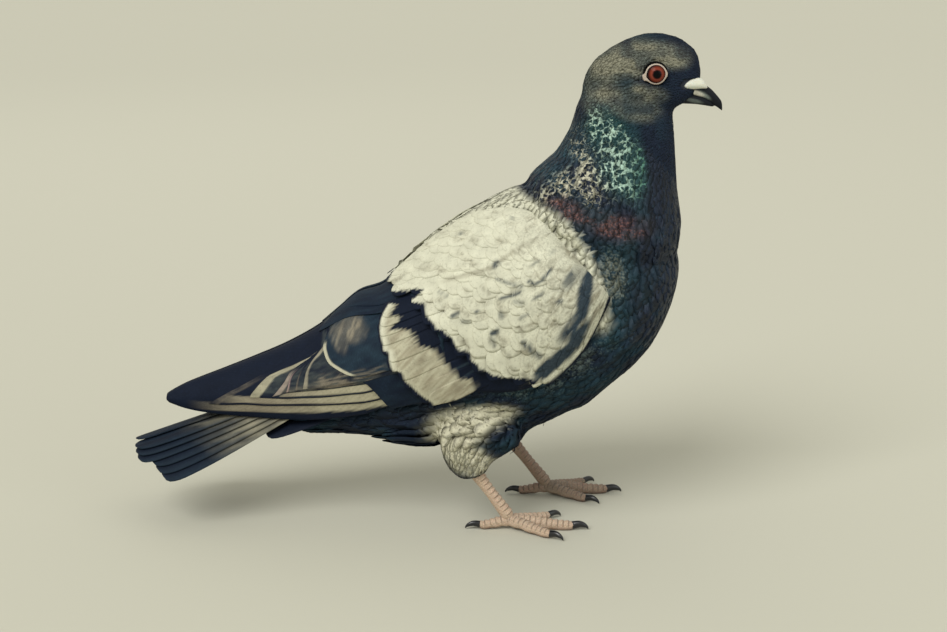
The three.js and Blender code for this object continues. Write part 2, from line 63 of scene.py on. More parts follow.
# %% From the bird's layout in millimetres to the frame in metres
MM = 0.001
EYE = np.array([53.0, 7.4, 216.0])  # middle of the left eyeball; the right one mirrors it
eye_low, eye_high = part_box("eye_right")
SHIFT = np.array([(eye_low.x + eye_high.x) / 2 - EYE[0] * MM, 0, 0])
SEED = 7
rng = np.random.default_rng(SEED)  # every random draw comes from here, so each run makes the same bird


def metres(points):
    """Millimetres in the bird's layout to metres in the frame."""
    return np.asarray(points, float) * MM + SHIFT


def layout(points):
    """Metres in the frame to millimetres in the bird's layout."""
    return (np.asarray(points, float) - SHIFT) / MM


print("shift in x, mm:", round(SHIFT[0] / MM, 2))

# %% [markdown]
# ## Small tools
# Most of a bird is smooth change: a width that swells and narrows, a colour that fades. Such a change could
# be drawn as a curve object and read back, but a function is shorter and can be read at any place at once.
# `through` draws a smooth curve through a few given values, `fade` goes from 0 to 1 between two places, and
# `blob` is a soft round patch.

# %% Curves, fades and patches


def through(*pairs):
    """A smooth function through (place, value) pairs, level outside them."""
    xs, ys = np.array(pairs, float).T
    before = np.maximum(np.arange(len(xs)) - 1, 0)
    after = np.minimum(np.arange(len(xs)) + 1, len(xs) - 1)
    slopes = (ys[after] - ys[before]) / (xs[after] - xs[before])

    def value(x):
        x = np.clip(np.asarray(x, float), xs[0], xs[-1])
        i = np.clip(np.searchsorted(xs, x), 1, len(xs) - 1)
        span = xs[i] - xs[i - 1]
        t = (x - xs[i - 1]) / span
        start = (2 * t**3 - 3 * t**2 + 1) * ys[i - 1] + (t**3 - 2 * t**2 + t) * span * slopes[i - 1]
        return start + (3 * t**2 - 2 * t**3) * ys[i] + (t**3 - t**2) * span * slopes[i]

    return value


def fade(x, low, high):
    """0 before low, 1 after high, smooth between; low may be the larger one."""
    t = np.clip((np.asarray(x, float) - low) / (high - low), 0, 1)
    return t * t * (3 - 2 * t)


def blob(x, z, centre, radii, turn=0.0):
    """A soft patch, 1 in the middle and 0 from the rim on, as seen from the side."""
    c, s = math.cos(math.radians(turn)), math.sin(math.radians(turn))
    dx, dz = x - centre[0], z - centre[1]
    reach = np.hypot((dx * c + dz * s) / radii[0], (dz * c - dx * s) / radii[1])
    return 1 - fade(reach, 0.35, 1.15)


CLOUD_GRID = 64  # random values each way, before the patches repeat
chance = rng.random((CLOUD_GRID, CLOUD_GRID))


def cloud(x, z, size):
    """Soft random patches between 0 and 1, each about `size` across."""
    a, b = np.asarray(x, float) / size, np.asarray(z, float) / size
    i, j = np.floor(a).astype(int), np.floor(b).astype(int)
    s, t = fade(a - i, 0, 1), fade(b - j, 0, 1)
    i, j, after, beyond = (k % CLOUD_GRID for k in (i, j, i + 1, j + 1))
    near = chance[i, j] * (1 - s) + chance[after, j] * s
    far = chance[i, beyond] * (1 - s) + chance[after, beyond] * s
    return near * (1 - t) + far * t


# %% Inks, as familiar hex numbers, turned into the renderer's linear light


def ink(hex_colour):
    """A hex colour as linear red, green and blue."""
    parts = np.array([int(hex_colour[i : i + 2], 16) for i in (1, 3, 5)]) / 255
    return np.where(parts > 0.04045, ((parts + 0.055) / 1.055) ** 2.4, parts / 12.92)


def mix(a, b, share):
    """Colours a and b mixed by a share for each point."""
    share = np.asarray(share, float)[..., None]
    return a * (1 - share) + b * share


NAVY = ink("#1a2435")
TEAL = ink("#24404a")
TAN = ink("#92917f")
MINT = ink("#bedccb")
GREEN = ink("#2b5450")
CREAM = ink("#d3d0b8")
ROSE = ink("#8d625b")
SHIELD = ink("#d3d3bf")
SHIELD_SHADE = ink("#9b9682")
MINT_DEEP = ink("#5f8f7f")
print("ink of the dark feathers:", np.round(NAVY, 4))

# %% [markdown]
# ## Meshes from arrays
# A bird's coat is thousands of feathers that differ only in size and place. They could be copies of one
# object, or grown by a hair system, but each has to bend with the skin under it and carry its own colours.
# A hundred thousand little faces are too many to add one at a time, so feathers are worked out as numpy
# arrays, all alike in how their points are joined, and handed to Blender in one go. Each vertex carries
# its colour in an attribute named `tint`. Two UV maps go along: `Vane` says where on its own feather a
# point lies, and `OFBake` where the feather sits on the bird, for a later bake.

# %% A mesh from arrays
THIN_FLECKS = 0.3  # how thick the flecks lie where nothing else is said


def in_scene(name, data):
    """A new object of this data, placed in the scene."""
    thing = bpy.data.objects.new(name, data)
    bpy.context.scene.collection.objects.link(thing)
    return thing


def give_colour(mesh, label, colours, alpha=1.0):
    """Gives each vertex a colour under this label; alpha may be one number or one for each vertex."""
    rgba = np.column_stack([colours, np.broadcast_to(alpha, len(colours))])
    attribute = mesh.attributes.new(label, "FLOAT_COLOR", "POINT")
    attribute.data.foreach_set("color", rgba.astype(np.float32).ravel())


def mesh_from(name, points, quads, tints, vane, bake, smooth, flecks=None, net=None):
    """points (n,3) in layout mm; quads (f,4) of point numbers, a triangle having its last two alike; tints
    may carry a fourth column, how thick the flecks lie; flecks give their own colour."""
    density = tints[:, 3] if tints.shape[1] == 4 else THIN_FLECKS
    tints = tints[:, :3]
    if flecks is None:
        flecks = tints * np.where(tints.mean(1) > 0.15, 0.66, 1.5)[:, None]
    quads = np.asarray(quads)
    triangles = quads[:, 2] == quads[:, 3]
    sizes = np.where(triangles, 3, 4)
    keep = np.ones(quads.shape, bool)
    keep[triangles, 3] = False
    corners = quads[keep]
    mesh = bpy.data.meshes.new(name)
    mesh.vertices.add(len(points))
    mesh.vertices.foreach_set("co", metres(points).astype(np.float32).ravel())
    mesh.loops.add(len(corners))
    mesh.loops.foreach_set("vertex_index", corners.astype(np.int32))
    mesh.polygons.add(len(quads))
    mesh.polygons.foreach_set("loop_start", np.concatenate([[0], np.cumsum(sizes)[:-1]]).astype(np.int32))
    mesh.update(calc_edges=True)
    mesh.polygons.foreach_set("use_smooth", smooth)
    give_colour(mesh, "tint", tints)
    give_colour(mesh, "fleck", flecks, density)
    if net is not None:
        strength = mesh.attributes.new("net", "FLOAT", "POINT")
        strength.data.foreach_set("value", net.astype(np.float32).ravel())
    for label, values in (("OFBake", bake), ("Vane", vane)):
        layer = mesh.uv_layers.new(name=label)
        layer.data.foreach_set("uv", values[corners].astype(np.float32).ravel())
    return in_scene(name, mesh)


def triangle_count(piece):
    """How many triangles a piece has."""
    return sum(len(p.vertices) - 2 for p in piece.data.polygons)


def on_bird(piece, slot, *nodes):
    """Every piece rides on the one body and stands for its solids; slot is not used."""
    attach(piece, "root")
    if nodes:
        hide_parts(*nodes)
    print(f"{piece.name}: {triangle_count(piece)} triangles")
    return piece


# %% [markdown]
# ## Materials for feathers
# A feather's vane is made of barbs, fine ribs that run from the shaft outwards and forwards. They are far
# too fine to model, so the material draws them from the feather's own `Vane` map: a sine wave on the
# distance along minus the distance from the shaft gives slanting ribs, as a slight change of shade and as
# bump.

# %% Helpers for materials


def new_material(name, **sockets):
    """A material and its shader, with numbers set on the shader's own sockets."""
    material = bpy.data.materials.new(name)
    material.use_nodes = True
    shader = material.node_tree.nodes["Principled BSDF"]
    for socket, value in sockets.items():
        shader.inputs[socket.replace("_", " ")].default_value = value
    return material, shader


def add(material, kind, inputs=(), **settings):
    """Adds a node, sets its properties, and links or sets its inputs in order."""
    node = material.node_tree.nodes.new(kind)
    for key, value in settings.items():
        setattr(node, key, value)
    for index, value in enumerate(inputs):
        if value is None:
            continue
        if isinstance(value, bpy.types.NodeSocket):
            material.node_tree.links.new(value, node.inputs[index])
        else:
            node.inputs[index].default_value = value
    return node


def link(material, output, socket):
    """Joins an output to an input."""
    material.node_tree.links.new(output, socket)


def maths(material, operation, *inputs):
    """The result of a Math node."""
    return add(material, "ShaderNodeMath", inputs, operation=operation).outputs[0]


def clamped(material, value, gain):
    """A value times a gain, kept between 0 and 1."""
    above = maths(material, "MAXIMUM", maths(material, "MULTIPLY", value, gain), 0)
    return maths(material, "MINIMUM", above, 1)


def noise(material, place, scale):
    """The outputs of a noise; the larger the scale, the finer it is."""
    node = add(material, "ShaderNodeTexNoise", [place])
    node.inputs["Scale"].default_value = scale
    return node.outputs


def paint(material, shader, colour, shade):
    """Gives the shader a colour, made lighter or darker by shade."""
    shaded = add(material, "ShaderNodeVectorMath", [colour], operation="SCALE")
    link(material, shade, shaded.inputs["Scale"])
    link(material, shaded.outputs[0], shader.inputs["Base Color"])


def emboss(material, shader, height, deep, strength):
    """Gives the shader a bump, deep in millimetres."""
    bump = add(material, "ShaderNodeBump")
    bump.inputs["Strength"].default_value = strength
    bump.inputs["Distance"].default_value = deep * MM
    link(material, height, bump.inputs["Height"])
    link(material, bump.outputs[0], shader.inputs["Normal"])


# %% [markdown]
# ## Flecks and the net on the neck
# The plumage isn't one even colour: fine paler flecks lie on it. Their colour and thickness come from the
# `fleck` attribute. Noise is cut off at a height that its alpha sets, so the flecks lie thicker where the
# alpha is higher. On the neck each feather has a bright fringe round a dark middle, which together look
# like a net. It could be painted feather by feather, but drawn along the edges of Voronoi cells it stays
# whole where feathers overlap. Neck feathers get a touch of metal, which looks like their gloss under soft
# light.

# %% Flecks of the second colour
FLECK_SCALE = 1000
WANDER_SCALE = 420  # how finely the net's lines wander
WANDER_REACH = 0.0035  # how far, in metres
NET_SCALE = 310
PATCHY_SCALE = 260  # how finely the net grows thick and thin
FLECK_SHARE = 0.8  # how much of the tint a fleck hides


def speckled(material, tint, place, lattice):
    """The tint with flecks of the second colour on it."""
    fleck = add(material, "ShaderNodeAttribute", attribute_name="fleck").outputs
    grain = noise(material, place, FLECK_SCALE)
    cut = maths(material, "MULTIPLY_ADD", fleck["Alpha"], 0.5, -0.68)
    share = clamped(material, maths(material, "ADD", grain[0], cut), 3.4)
    if lattice:
        wander = noise(material, place, WANDER_SCALE)
        pushed = add(material, "ShaderNodeVectorMath", [wander["Color"]], operation="SCALE")
        pushed.inputs["Scale"].default_value = WANDER_REACH
        bent = add(material, "ShaderNodeVectorMath", [place, pushed.outputs[0]], operation="ADD").outputs[0]
        cells = add(material, "ShaderNodeTexVoronoi", [bent], feature="DISTANCE_TO_EDGE")
        cells.inputs["Scale"].default_value = NET_SCALE
        net = add(material, "ShaderNodeAttribute", attribute_name="net").outputs["Fac"]
        patchy = noise(material, place, PATCHY_SCALE)
        thick = maths(material, "MULTIPLY_ADD", patchy[0], 0.8, -0.27)
        wide = maths(material, "MULTIPLY", net, thick)
        near = maths(material, "SUBTRACT", wide, cells.outputs["Distance"])
        share = maths(material, "MAXIMUM", share, clamped(material, near, 8))
    blend = add(material, "ShaderNodeMix", data_type="RGBA")
    share = maths(material, "MULTIPLY", share, FLECK_SHARE)
    for output, socket in ((share, 0), (tint, 6), (fleck["Color"], 7)):
        link(material, output, blend.inputs[socket])
    return blend.outputs[2]


# %% The feather material
BARB_SLANT = 0.55
RAGGED_SCALE = 900  # noise that keeps the barbs from running too straight
SHADE_SCALE = 160  # broad noise in the shade
BARB_BUMP = 0.5


def feather_material(name, barbs, depth, relief, lattice=False, **sockets):
    """barbs along one feather, how much they darken it, and how deep their bump is."""
    material, shader = new_material(name, **sockets)
    tint = add(material, "ShaderNodeAttribute", attribute_name="tint").outputs["Color"]
    uv = add(material, "ShaderNodeUVMap", uv_map="Vane").outputs[0]
    part = add(material, "ShaderNodeSeparateXYZ", [uv])
    off = maths(material, "ABSOLUTE", maths(material, "SUBTRACT", part.outputs[0], 0.5))
    slant = maths(material, "SUBTRACT", part.outputs[1], maths(material, "MULTIPLY", off, BARB_SLANT))
    place = add(material, "ShaderNodeTexCoord").outputs["Object"]
    ragged = noise(material, place, RAGGED_SCALE)
    wobble = maths(material, "MULTIPLY", ragged[0], 2.5)
    phase = maths(material, "ADD", maths(material, "MULTIPLY", slant, barbs * 2 * math.pi), wobble)
    rib = maths(material, "MULTIPLY_ADD", maths(material, "SINE", phase), 0.5, 0.5)
    shaft = maths(material, "LESS_THAN", off, 0.02)
    broad = noise(material, place, SHADE_SCALE)
    shade = maths(material, "MULTIPLY_ADD", rib, depth, 1 - depth)
    shade = maths(material, "MULTIPLY", shade, maths(material, "MULTIPLY_ADD", broad[0], 0.5, 0.75))
    paint(material, shader, speckled(material, tint, place, lattice), shade)
    height = maths(material, "ADD", rib, maths(material, "MULTIPLY", shaft, 1.5))
    emboss(material, shader, height, relief, BARB_BUMP)
    return material


plumage = feather_material("body feathers", 26, 0.1, 0.05, Roughness=0.72, Specular_IOR_Level=0.12)
neck_gloss = feather_material(
    "glossy neck feathers", 20, 0.12, 0.05, True, Roughness=0.5, Metallic=0.15, Specular_IOR_Level=0.2
)
flight = feather_material("long feathers", 42, 0.08, 0.05, Roughness=0.68, Specular_IOR_Level=0.1)
print("feather materials:", [m.name for m in (plumage, neck_gloss, flight)])

# %% [markdown]
# ## The skin
# Under its feathers a bird has one skin, with no seam between head, neck, body and thighs. It could be
# sculpted, or the solids joined by booleans, but those leave a crease at each joint. So the flesh solids
# are copied, swelled a little so that they run into one another, and melted into a single closed surface
# with a voxel Remesh; a Smooth modifier rounds the steps where they met. Last the skin is pulled in by the
# depth of the coat, which is thin on the face and deep on the body, so that the feathers end where the
# solids did.

# %% The bird's middle line, from the bill to the end of the tail
# Feathers lie along it, and a place on the bird is told by the distance along it.
SPINE = np.array(
    [
        (88, 197), (70, 207), (50, 210), (40, 203), (32, 185), (26, 160),
        (22, 135), (12, 115), (-10, 103), (-50, 86), (-100, 66), (-150, 48), (-200, 30),
    ],
    float,
)
spine_steps = np.linspace(0, 1, 8, endpoint=False)[:, None]
spine_xz = np.concatenate([a + (b - a) * spine_steps for a, b in zip(SPINE[:-1], SPINE[1:])])
spine_way = np.gradient(spine_xz, axis=0)
spine_way /= np.linalg.norm(spine_way, axis=1)[:, None]
spine_along = np.concatenate([[0], np.cumsum(np.linalg.norm(np.diff(spine_xz, axis=0), axis=1))])
NEAR = 14.0  # how widely neighbouring stretches of the line are averaged


def along_spine(points):
    """Each point's distance along the middle line, and the line's direction there as (x, z)."""
    places, ways = [], []
    for part in np.array_split(points[:, [0, 2]], max(1, len(points) // 4000)):
        gap = ((part[:, None] - spine_xz) ** 2).sum(2)
        weight = np.exp(-(gap - gap.min(1)[:, None]) / (2 * NEAR**2))
        weight /= weight.sum(1)[:, None]
        places.append(weight @ spine_along)
        ways.append(weight @ spine_way)
    way = np.concatenate(ways)
    return np.concatenate(places), way / np.linalg.norm(way, axis=1)[:, None]


print("middle line, mm:", round(spine_along[-1], 1))

# %% Copies of the solids, melted together
FLESH = ["head", "neck", "torso", "thigh_right", "thigh_left"]
OVERLAP = 0.45  # how far the copies swell, so that they meet
VOXEL = 1.5
SMOOTHINGS = 14
WELD = 0.02  # points of a solid closer than this are one


def mesh_arrays(mesh):
    """Vertices in layout mm, vertex normals, and triangles of a mesh."""
    points = np.zeros(len(mesh.vertices) * 3, np.float32)
    mesh.vertices.foreach_get("co", points)
    normals = np.zeros(len(mesh.vertices) * 3, np.float32)
    mesh.vertex_normals.foreach_get("vector", normals)
    mesh.calc_loop_triangles()
    triangles = np.zeros(len(mesh.loop_triangles) * 3, np.int32)
    mesh.loop_triangles.foreach_get("vertices", triangles)
    return layout(points.reshape(-1, 3)), normals.reshape(-1, 3).astype(float), triangles.reshape(-1, 3)


def swollen_copy(names, by):
    """One mesh object of copies of the named solids, each swelled by some millimetres."""
    whole = bmesh.new()
    for name in names:
        bm = bmesh.new()
        bm.from_mesh(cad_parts[name].data)
        bmesh.ops.remove_doubles(bm, verts=bm.verts, dist=WELD * MM)
        bm.normal_update()
        for vertex in bm.verts:
            vertex.co += vertex.normal * by * MM
        one = bpy.data.meshes.new("copy")
        bm.to_mesh(one)
        bm.free()
        whole.from_mesh(one)
        bpy.data.meshes.remove(one)
    mesh = bpy.data.meshes.new("flesh")
    whole.to_mesh(mesh)
    whole.free()
    return in_scene("flesh", mesh)


def melted(copy, voxel, rounds, name):
    """The copy as one closed, smoothed surface; the copy itself goes."""
    remesh = copy.modifiers.new("melt", "REMESH")
    remesh.mode, remesh.voxel_size = "VOXEL", voxel * MM
    smooth = copy.modifiers.new("smooth", "SMOOTH")
    smooth.factor, smooth.iterations = 0.5, rounds
    depsgraph = bpy.context.evaluated_depsgraph_get()
    mesh = bpy.data.meshes.new_from_object(copy.evaluated_get(depsgraph))
    bpy.data.objects.remove(copy)
    mesh.name = name
    return in_scene(name, mesh)


skin = melted(swollen_copy(FLESH, OVERLAP), VOXEL, SMOOTHINGS, "skin")
print("melted skin:", len(skin.data.vertices), "vertices")

# %% The skin, pulled in by the depth of the coat
THIGH_THIN = 0.65  # by how much of its depth the coat is thinner on the thighs

coat_depth = through((20, 0.5), (40, 0.8), (70, 1.2), (95, 2.0), (130, 2.8), (170, 3.2), (300, 3.2))


def thigh_share(points):
    """1 on the thighs, 0 on the body."""
    x, y, z = points.T
    return fade(z, 56, 47) * fade(np.abs(y), 7, 12) * fade(x, -50, -44) * fade(x, 14, 6)


skin_points, skin_normals, skin_triangles = mesh_arrays(skin.data)
skin_place, _ = along_spine(skin_points)
skin_depth = coat_depth(skin_place) * (1 - THIGH_THIN * thigh_share(skin_points)) + OVERLAP
skin_points = skin_points - skin_normals * skin_depth[:, None]
skin.data.vertices.foreach_set("co", metres(skin_points).astype(np.float32).ravel())
skin.data.update()
skin_points, skin_normals, skin_triangles = mesh_arrays(skin.data)
skin_tree = BVHTree.FromPolygons(skin_points.tolist(), skin_triangles.tolist())
print("skin:", len(skin_points), "vertices,", len(skin_triangles), "triangles")

# %% [markdown]
# ## The pigeon's colours
# A pigeon's plumage is slate navy, with the side of the head mottled grey-buff, a patch of glossy green on
# the neck and buff and rose under it, and a pale mantle and thighs. It could be painted as an image, but
# that has a fixed fineness and seams. Here each patch is given by its place in the bird's layout and fades
# out softly, and one function gives the colour anywhere, so that skin and feathers always agree.

# %% The patches of head and neck


def tan_share(x, z):
    """How thickly the grey-buff flecks of the head lie."""
    soft = 0.45 + 0.75 * fade(cloud(x, z, 5), 0.15, 0.75)
    return np.clip(
        (0.95 * blob(x, z, (41, 222), (19, 10), 12)
         + 0.8 * blob(x, z, (60, 224), (12, 7), -14)
         + 0.7 * blob(x, z, (46, 206.5), (14, 6), -4)
         + 0.6 * blob(x, z, (28, 213), (10, 11), 20)
         + 0.45 * blob(x, z, (45, 199), (14, 6), -8)
         + 0.35 * blob(x, z, (27, 203), (9, 8))) * soft,
        0,
        1,
    )


def mint_share(x, z):
    """How strongly the glossy green of the neck shows."""
    soft = 0.6 + 0.8 * fade(cloud(x, z, 6), 0.15, 0.75)
    return np.clip(
        (1.0 * blob(x, z, (35, 180), (13, 22), 12) + 0.6 * blob(x, z, (43, 172), (8, 17), 8)
         + 0.5 * blob(x, z, (27, 195), (9, 11), 10)) * soft, 0, 1
    )


def buff_share(x, z):
    """How strongly pale buff feather tips show under the green and down the back of the neck."""
    soft = 0.5 + 1.0 * fade(cloud(x + 40, z, 7), 0.15, 0.75)
    return np.clip(
        (1.1 * blob(x, z, (23, 166), (15, 10), -14) + 0.4 * blob(x, z, (6, 162), (14, 9), 38)
         + 0.45 * blob(x, z, (21, 182), (8, 15), 20)) * soft, 0, 1
    )


def rose_share(x, z):
    """How strongly the rosy band at the base of the neck shows."""
    soft = 0.45 + 0.8 * fade(cloud(x * 0.4, z, 2.2), 0.2, 0.8)
    return np.clip(
        (0.7 * blob(x, z, (13, 155), (13, 7), -30) + 0.7 * blob(x, z, (38, 148), (17, 7), -4)
         + 0.5 * blob(x, z, (25, 152), (16, 6), -12)) * soft, 0, 1
    )


# %% The pale mantle and thighs
MANTLE_X = [-30, -8, -2, 6, 13, 20, 26, 30, 33]
MANTLE_TOP = [176, 161, 158, 155, 150, 141, 131, 120, 110]


def mantle_share(points):
    """1 on the pale back between and before the wings, 0 elsewhere."""
    x, y, z = points.T
    border = np.interp(x, MANTLE_X, MANTLE_TOP)
    return fade(z, border + 1.5, border - 2) * fade(x, 34, 29) * fade(z, 98, 106) * fade(x, -72, -62)


def thigh_pale(points):
    """1 on the pale outside of the thighs; the inner side of each stays dark as painted shade."""
    x, y, z = points.T
    patch = blob(x, z, (-40, 49), (17, 13), 10) + blob(x, z, (-27, 58), (19, 6.5), 6)
    patch = patch + blob(x, z, (-31, 36), (13, 9))
    patch = 1.6 * patch * (1 - 0.8 * blob(x, z, (-20, 44), (7, 9), 30))
    dark = fade(cloud((x + 0.5 * z) * 1.3, (z - 0.5 * x) * 0.3, 2.0), 0.45, 0.85)
    patch = patch * (1 - 0.75 * dark * fade(x, -42, -30) * fade(z, 54, 46))
    # painted shade: the pale patch stops short of each thigh's inner side, which keeps the dark ground
    return np.clip(patch, 0, 1) * fade(np.abs(y), 13, 19) * fade(x, -2, -9) * fade(x, -58, -46)


pale_skin = np.maximum(mantle_share(skin_points), thigh_pale(skin_points))
print("share of the skin that is pale:", pale_skin.mean().round(3))

# %% The ground colour, and the flecks on it


def ground(points):
    """The plumage colour under the flecks."""
    x, y, z = points.T
    colour = mix(NAVY, TEAL, 0.55 * fade(cloud(x + 0.4 * y, z, 9), 0.35, 0.8) * fade(x, 66, 40))
    colour = mix(colour, TEAL, 0.6 * blob(x, z, (30, 118), (16, 34), 10))
    colour = mix(colour, ROSE * 0.45, 0.35 * rose_share(x, z))
    colour = mix(colour, GREEN, 0.5 * mint_share(x, z))
    colour = mix(colour, TAN * 0.55, 0.85 * np.clip(1.2 * tan_share(x, z), 0, 1))
    colour = mix(colour, SHIELD * 0.97, mantle_share(points))
    return mix(colour, CREAM * 0.95, thigh_pale(points))


def flecks_at(points):
    """Colour and thickness of the flecks, with a painted sheen on the side of the breast, and how strong the
    net on the neck is.
    """
    x, y, z = points.T
    tan, mint, buff, rose = tan_share(x, z), mint_share(x, z), buff_share(x, z), rose_share(x, z)
    # painted sheen: tan flecks lie thicker on the side of the breast, partly the plumage's own flecking
    breast_flecks_and_sheen = blob(x, z, (33, 127), (9, 16), 14)
    belly = blob(x, z, (6, 82), (44, 14), 24)
    patches = 0.35 + 1.3 * fade(cloud(x, z + 0.5 * np.abs(y), 7), 0.35, 0.85)
    density = 0.12 + 0.75 * tan + 0.58 * breast_flecks_and_sheen + 0.34 * belly * patches
    density = np.maximum(density, 0.62 * np.maximum(0.8 * rose, 0.5 * buff))
    colour = mix(TEAL * 1.8, TAN, np.clip(1.2 * tan + 0.7 * breast_flecks_and_sheen + 0.35 * belly, 0, 1))
    colour = mix(colour, CREAM, np.clip(1.4 * buff, 0, 1))
    colour = mix(colour, ROSE, np.clip(1.5 * rose, 0, 1))
    colour = mix(colour, mix(MINT, MINT_DEEP, fade(x, 35, 48)), np.clip(1.5 * mint, 0, 1))
    mantle, thigh = mantle_share(points), thigh_pale(points)
    pale = np.maximum(mantle, thigh)
    colour = mix(colour, SHIELD_SHADE, pale)
    density = np.where(pale > 0.4, 0.3 + 0.25 * patches * thigh, density)
    net = np.clip(1.1 * np.maximum(mint, 0.8 * buff), 0, 1.1) + 0.5 * blob(x, z, (8, 172), (15, 24), -34)
    return colour, density, net * (1 - pale)


# %% An unwrap by angle and distance


def bake_place(points, place=None):
    """An unwrap of the body: across the map by angle round the middle line, up it by distance along."""
    place = along_spine(points)[0] if place is None else place
    x, y, z = points.T
    line_x = np.interp(place, spine_along, spine_xz[:, 0])
    line_z = np.interp(place, spine_along, spine_xz[:, 1])
    way_x = np.interp(place, spine_along, spine_way[:, 0])
    way_z = np.interp(place, spine_along, spine_way[:, 1])
    above = (z - line_z) * -way_x + (x - line_x) * way_z
    angle = np.arctan2(y, above) / (2 * math.pi) + 0.5
    on_thigh = thigh_share(points) > 0.5
    side = np.where(y > 0, 0.25, 0.75)
    thigh_u = side + 0.2 * np.arctan2(x + 25, np.abs(y) - 24) / math.pi
    thigh_v = 0.88 + 0.1 * np.clip((z - 20) / 40, 0, 1)
    u = np.where(on_thigh, thigh_u, angle)
    v = np.where(on_thigh, thigh_v, 0.02 + 0.8 * place / spine_along[-1])
    return np.clip(np.stack([u, v], 1), 0.003, 0.997)


DOWN_SHADE = 0.85  # the down is darker than the feather tips
give_colour(skin.data, "tint", ground(skin_points) * DOWN_SHADE)
skin_uv = skin.data.uv_layers.new(name="OFBake")
skin_corners = np.zeros(len(skin.data.loops), np.int32)
skin.data.loops.foreach_get("vertex_index", skin_corners)
skin_uv.data.foreach_set("uv", bake_place(skin_points)[skin_corners].astype(np.float32).ravel())
skin.data.polygons.foreach_set("use_smooth", np.ones(len(skin.data.polygons), bool))

# %% Down
DOWN_SCALE = 1400
DOWN_BUMP = 0.4

down, down_shader = new_material("down under the feathers", Roughness=0.85, Sheen_Weight=0.1)
down_tint = add(down, "ShaderNodeAttribute", attribute_name="tint").outputs["Color"]
down_place = add(down, "ShaderNodeTexCoord").outputs["Object"]
down_noise = noise(down, down_place, DOWN_SCALE)
emboss(down, down_shader, down_noise[0], DOWN_BUMP, 1.0)
paint(down, down_shader, down_tint, maths(down, "MULTIPLY_ADD", down_noise[0], 0.6, 0.7))
skin.data.materials.append(down)
on_bird(skin, "dark_plumage", *FLESH)

# %% [markdown]
# ## Where the body feathers grow
# Feathers grow in even rows, never in clumps. A particle system could scatter them, but it knows nothing
# of their neighbours. So roots are drawn at random and kept apart: a new root is dropped when it falls
# closer to another than the local spacing. The spacing follows the feather's length, from about two
# millimetres round the bill to twenty under the tail. Roots that the wing hides, and places that are bare
# on a real pigeon, such as the ring round the eye, get none.

# %% Roots, evenly spread
feather_length = through(
    (18, 2.1), (30, 2.6), (45, 3.3), (60, 4.2), (75, 5.8), (95, 8.0), (120, 9.6),
    (150, 11.0), (200, 12.5), (245, 16.0), (300, 20.0),
)
SPACING = 0.235  # between roots, as a share of the feather's length
CANDIDATES = 260_000
CELL = 7.0  # of the grid that finds a root's neighbours; wider than any spacing


def lengths_at(points, place):
    """The local feather length: shorter on the thighs than on the body round them."""
    length = feather_length(place)
    return length + (9.5 + 1.5 * (points[:, 1] > 0) - length) * thigh_share(points)


def spread_roots():
    """Points and normals on the skin, spaced by the local feather length."""
    a, b, c = (skin_points[skin_triangles[:, k]] for k in range(3))
    area = np.linalg.norm(np.cross(b - a, c - a), axis=1) / 2
    middle = (a + b + c) / 3
    length = lengths_at(middle, along_spine(middle)[0])
    weight = area / length**2
    chosen = rng.choice(len(area), CANDIDATES, p=weight / weight.sum())
    r1, r2 = rng.random((2, CANDIDATES))
    root = np.sqrt(r1)
    share = np.stack([1 - root, root * (1 - r2), root * r2], 1)
    points = sum(share[:, k : k + 1] * (a, b, c)[k][chosen] for k in range(3))
    spacing = SPACING * length[chosen] * (1 - 0.3 * thigh_share(points))
    kept, cells = [], {}
    for i, (point, gap) in enumerate(zip(points, spacing)):
        cell = tuple((point // CELL).astype(int))
        near = [
            j
            for dx in (-1, 0, 1)
            for dy in (-1, 0, 1)
            for dz in (-1, 0, 1)
            for j in cells.get((cell[0] + dx, cell[1] + dy, cell[2] + dz), ())
        ]
        if near and ((points[near] - point) ** 2).sum(1).min() < gap * gap:
            continue
        kept.append(i)
        cells.setdefault(cell, []).append(i)
    return points[kept]


roots = spread_roots()
print("roots on the whole skin:", len(roots))

# %% Roots that are bare, or hidden by the wing
BARE_EYE = 5.7  # radius of the bare skin round the eye
BARE_BILL = 1.2  # how far round bill and ceres no feather grows
WING_SEARCH = 26  # how far outwards a wing is looked for


def tree_of(*names):
    """A search tree of the named solids, in layout mm."""
    points, faces = [], []
    for name in names:
        more, _, triangles = mesh_arrays(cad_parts[name].data)
        faces.extend((triangles + len(points)).tolist())
        points.extend(more.tolist())
    return BVHTree.FromPolygons(points, faces)


def on_skin(points):
    """The nearest place on the skin to each point, and the normal there."""
    hits = [skin_tree.find_nearest(Vector(p)) for p in points]
    return np.array([h[0] for h in hits]), np.array([h[1] for h in hits])


_, root_normals = on_skin(roots)
eye_gap = np.hypot(roots[:, 0] - EYE[0], roots[:, 2] - EYE[2])
behind_eye = np.hypot((roots[:, 0] - 46.5) / 3.4, (roots[:, 2] - 214) / 1.3)
between_wings = (roots[:, 0] < -62) & (roots[:, 2] > 95)
open_skin = (eye_gap > BARE_EYE) & (behind_eye > 1) & ~between_wings
bill_tree = tree_of("bill_upper", "bill_lower", "cere_right", "cere_left")
wing_tree = tree_of("wing_right", "wing_left")
clear = np.array([bill_tree.find_nearest(Vector(p), BARE_BILL)[0] is None for p in roots])
clear &= (roots[:, 0] < 64.5) | (np.hypot((roots[:, 0] - 70) / 5, (roots[:, 2] - 210.4) / 3) > 1)


def under_wing(points, normals):
    """True where the wing lies over a point."""
    rays = ((Vector(p + n * 0.5), Vector(n)) for p, n in zip(points, normals))
    return np.array([wing_tree.ray_cast(start, way, WING_SEARCH)[0] is not None for start, way in rays])


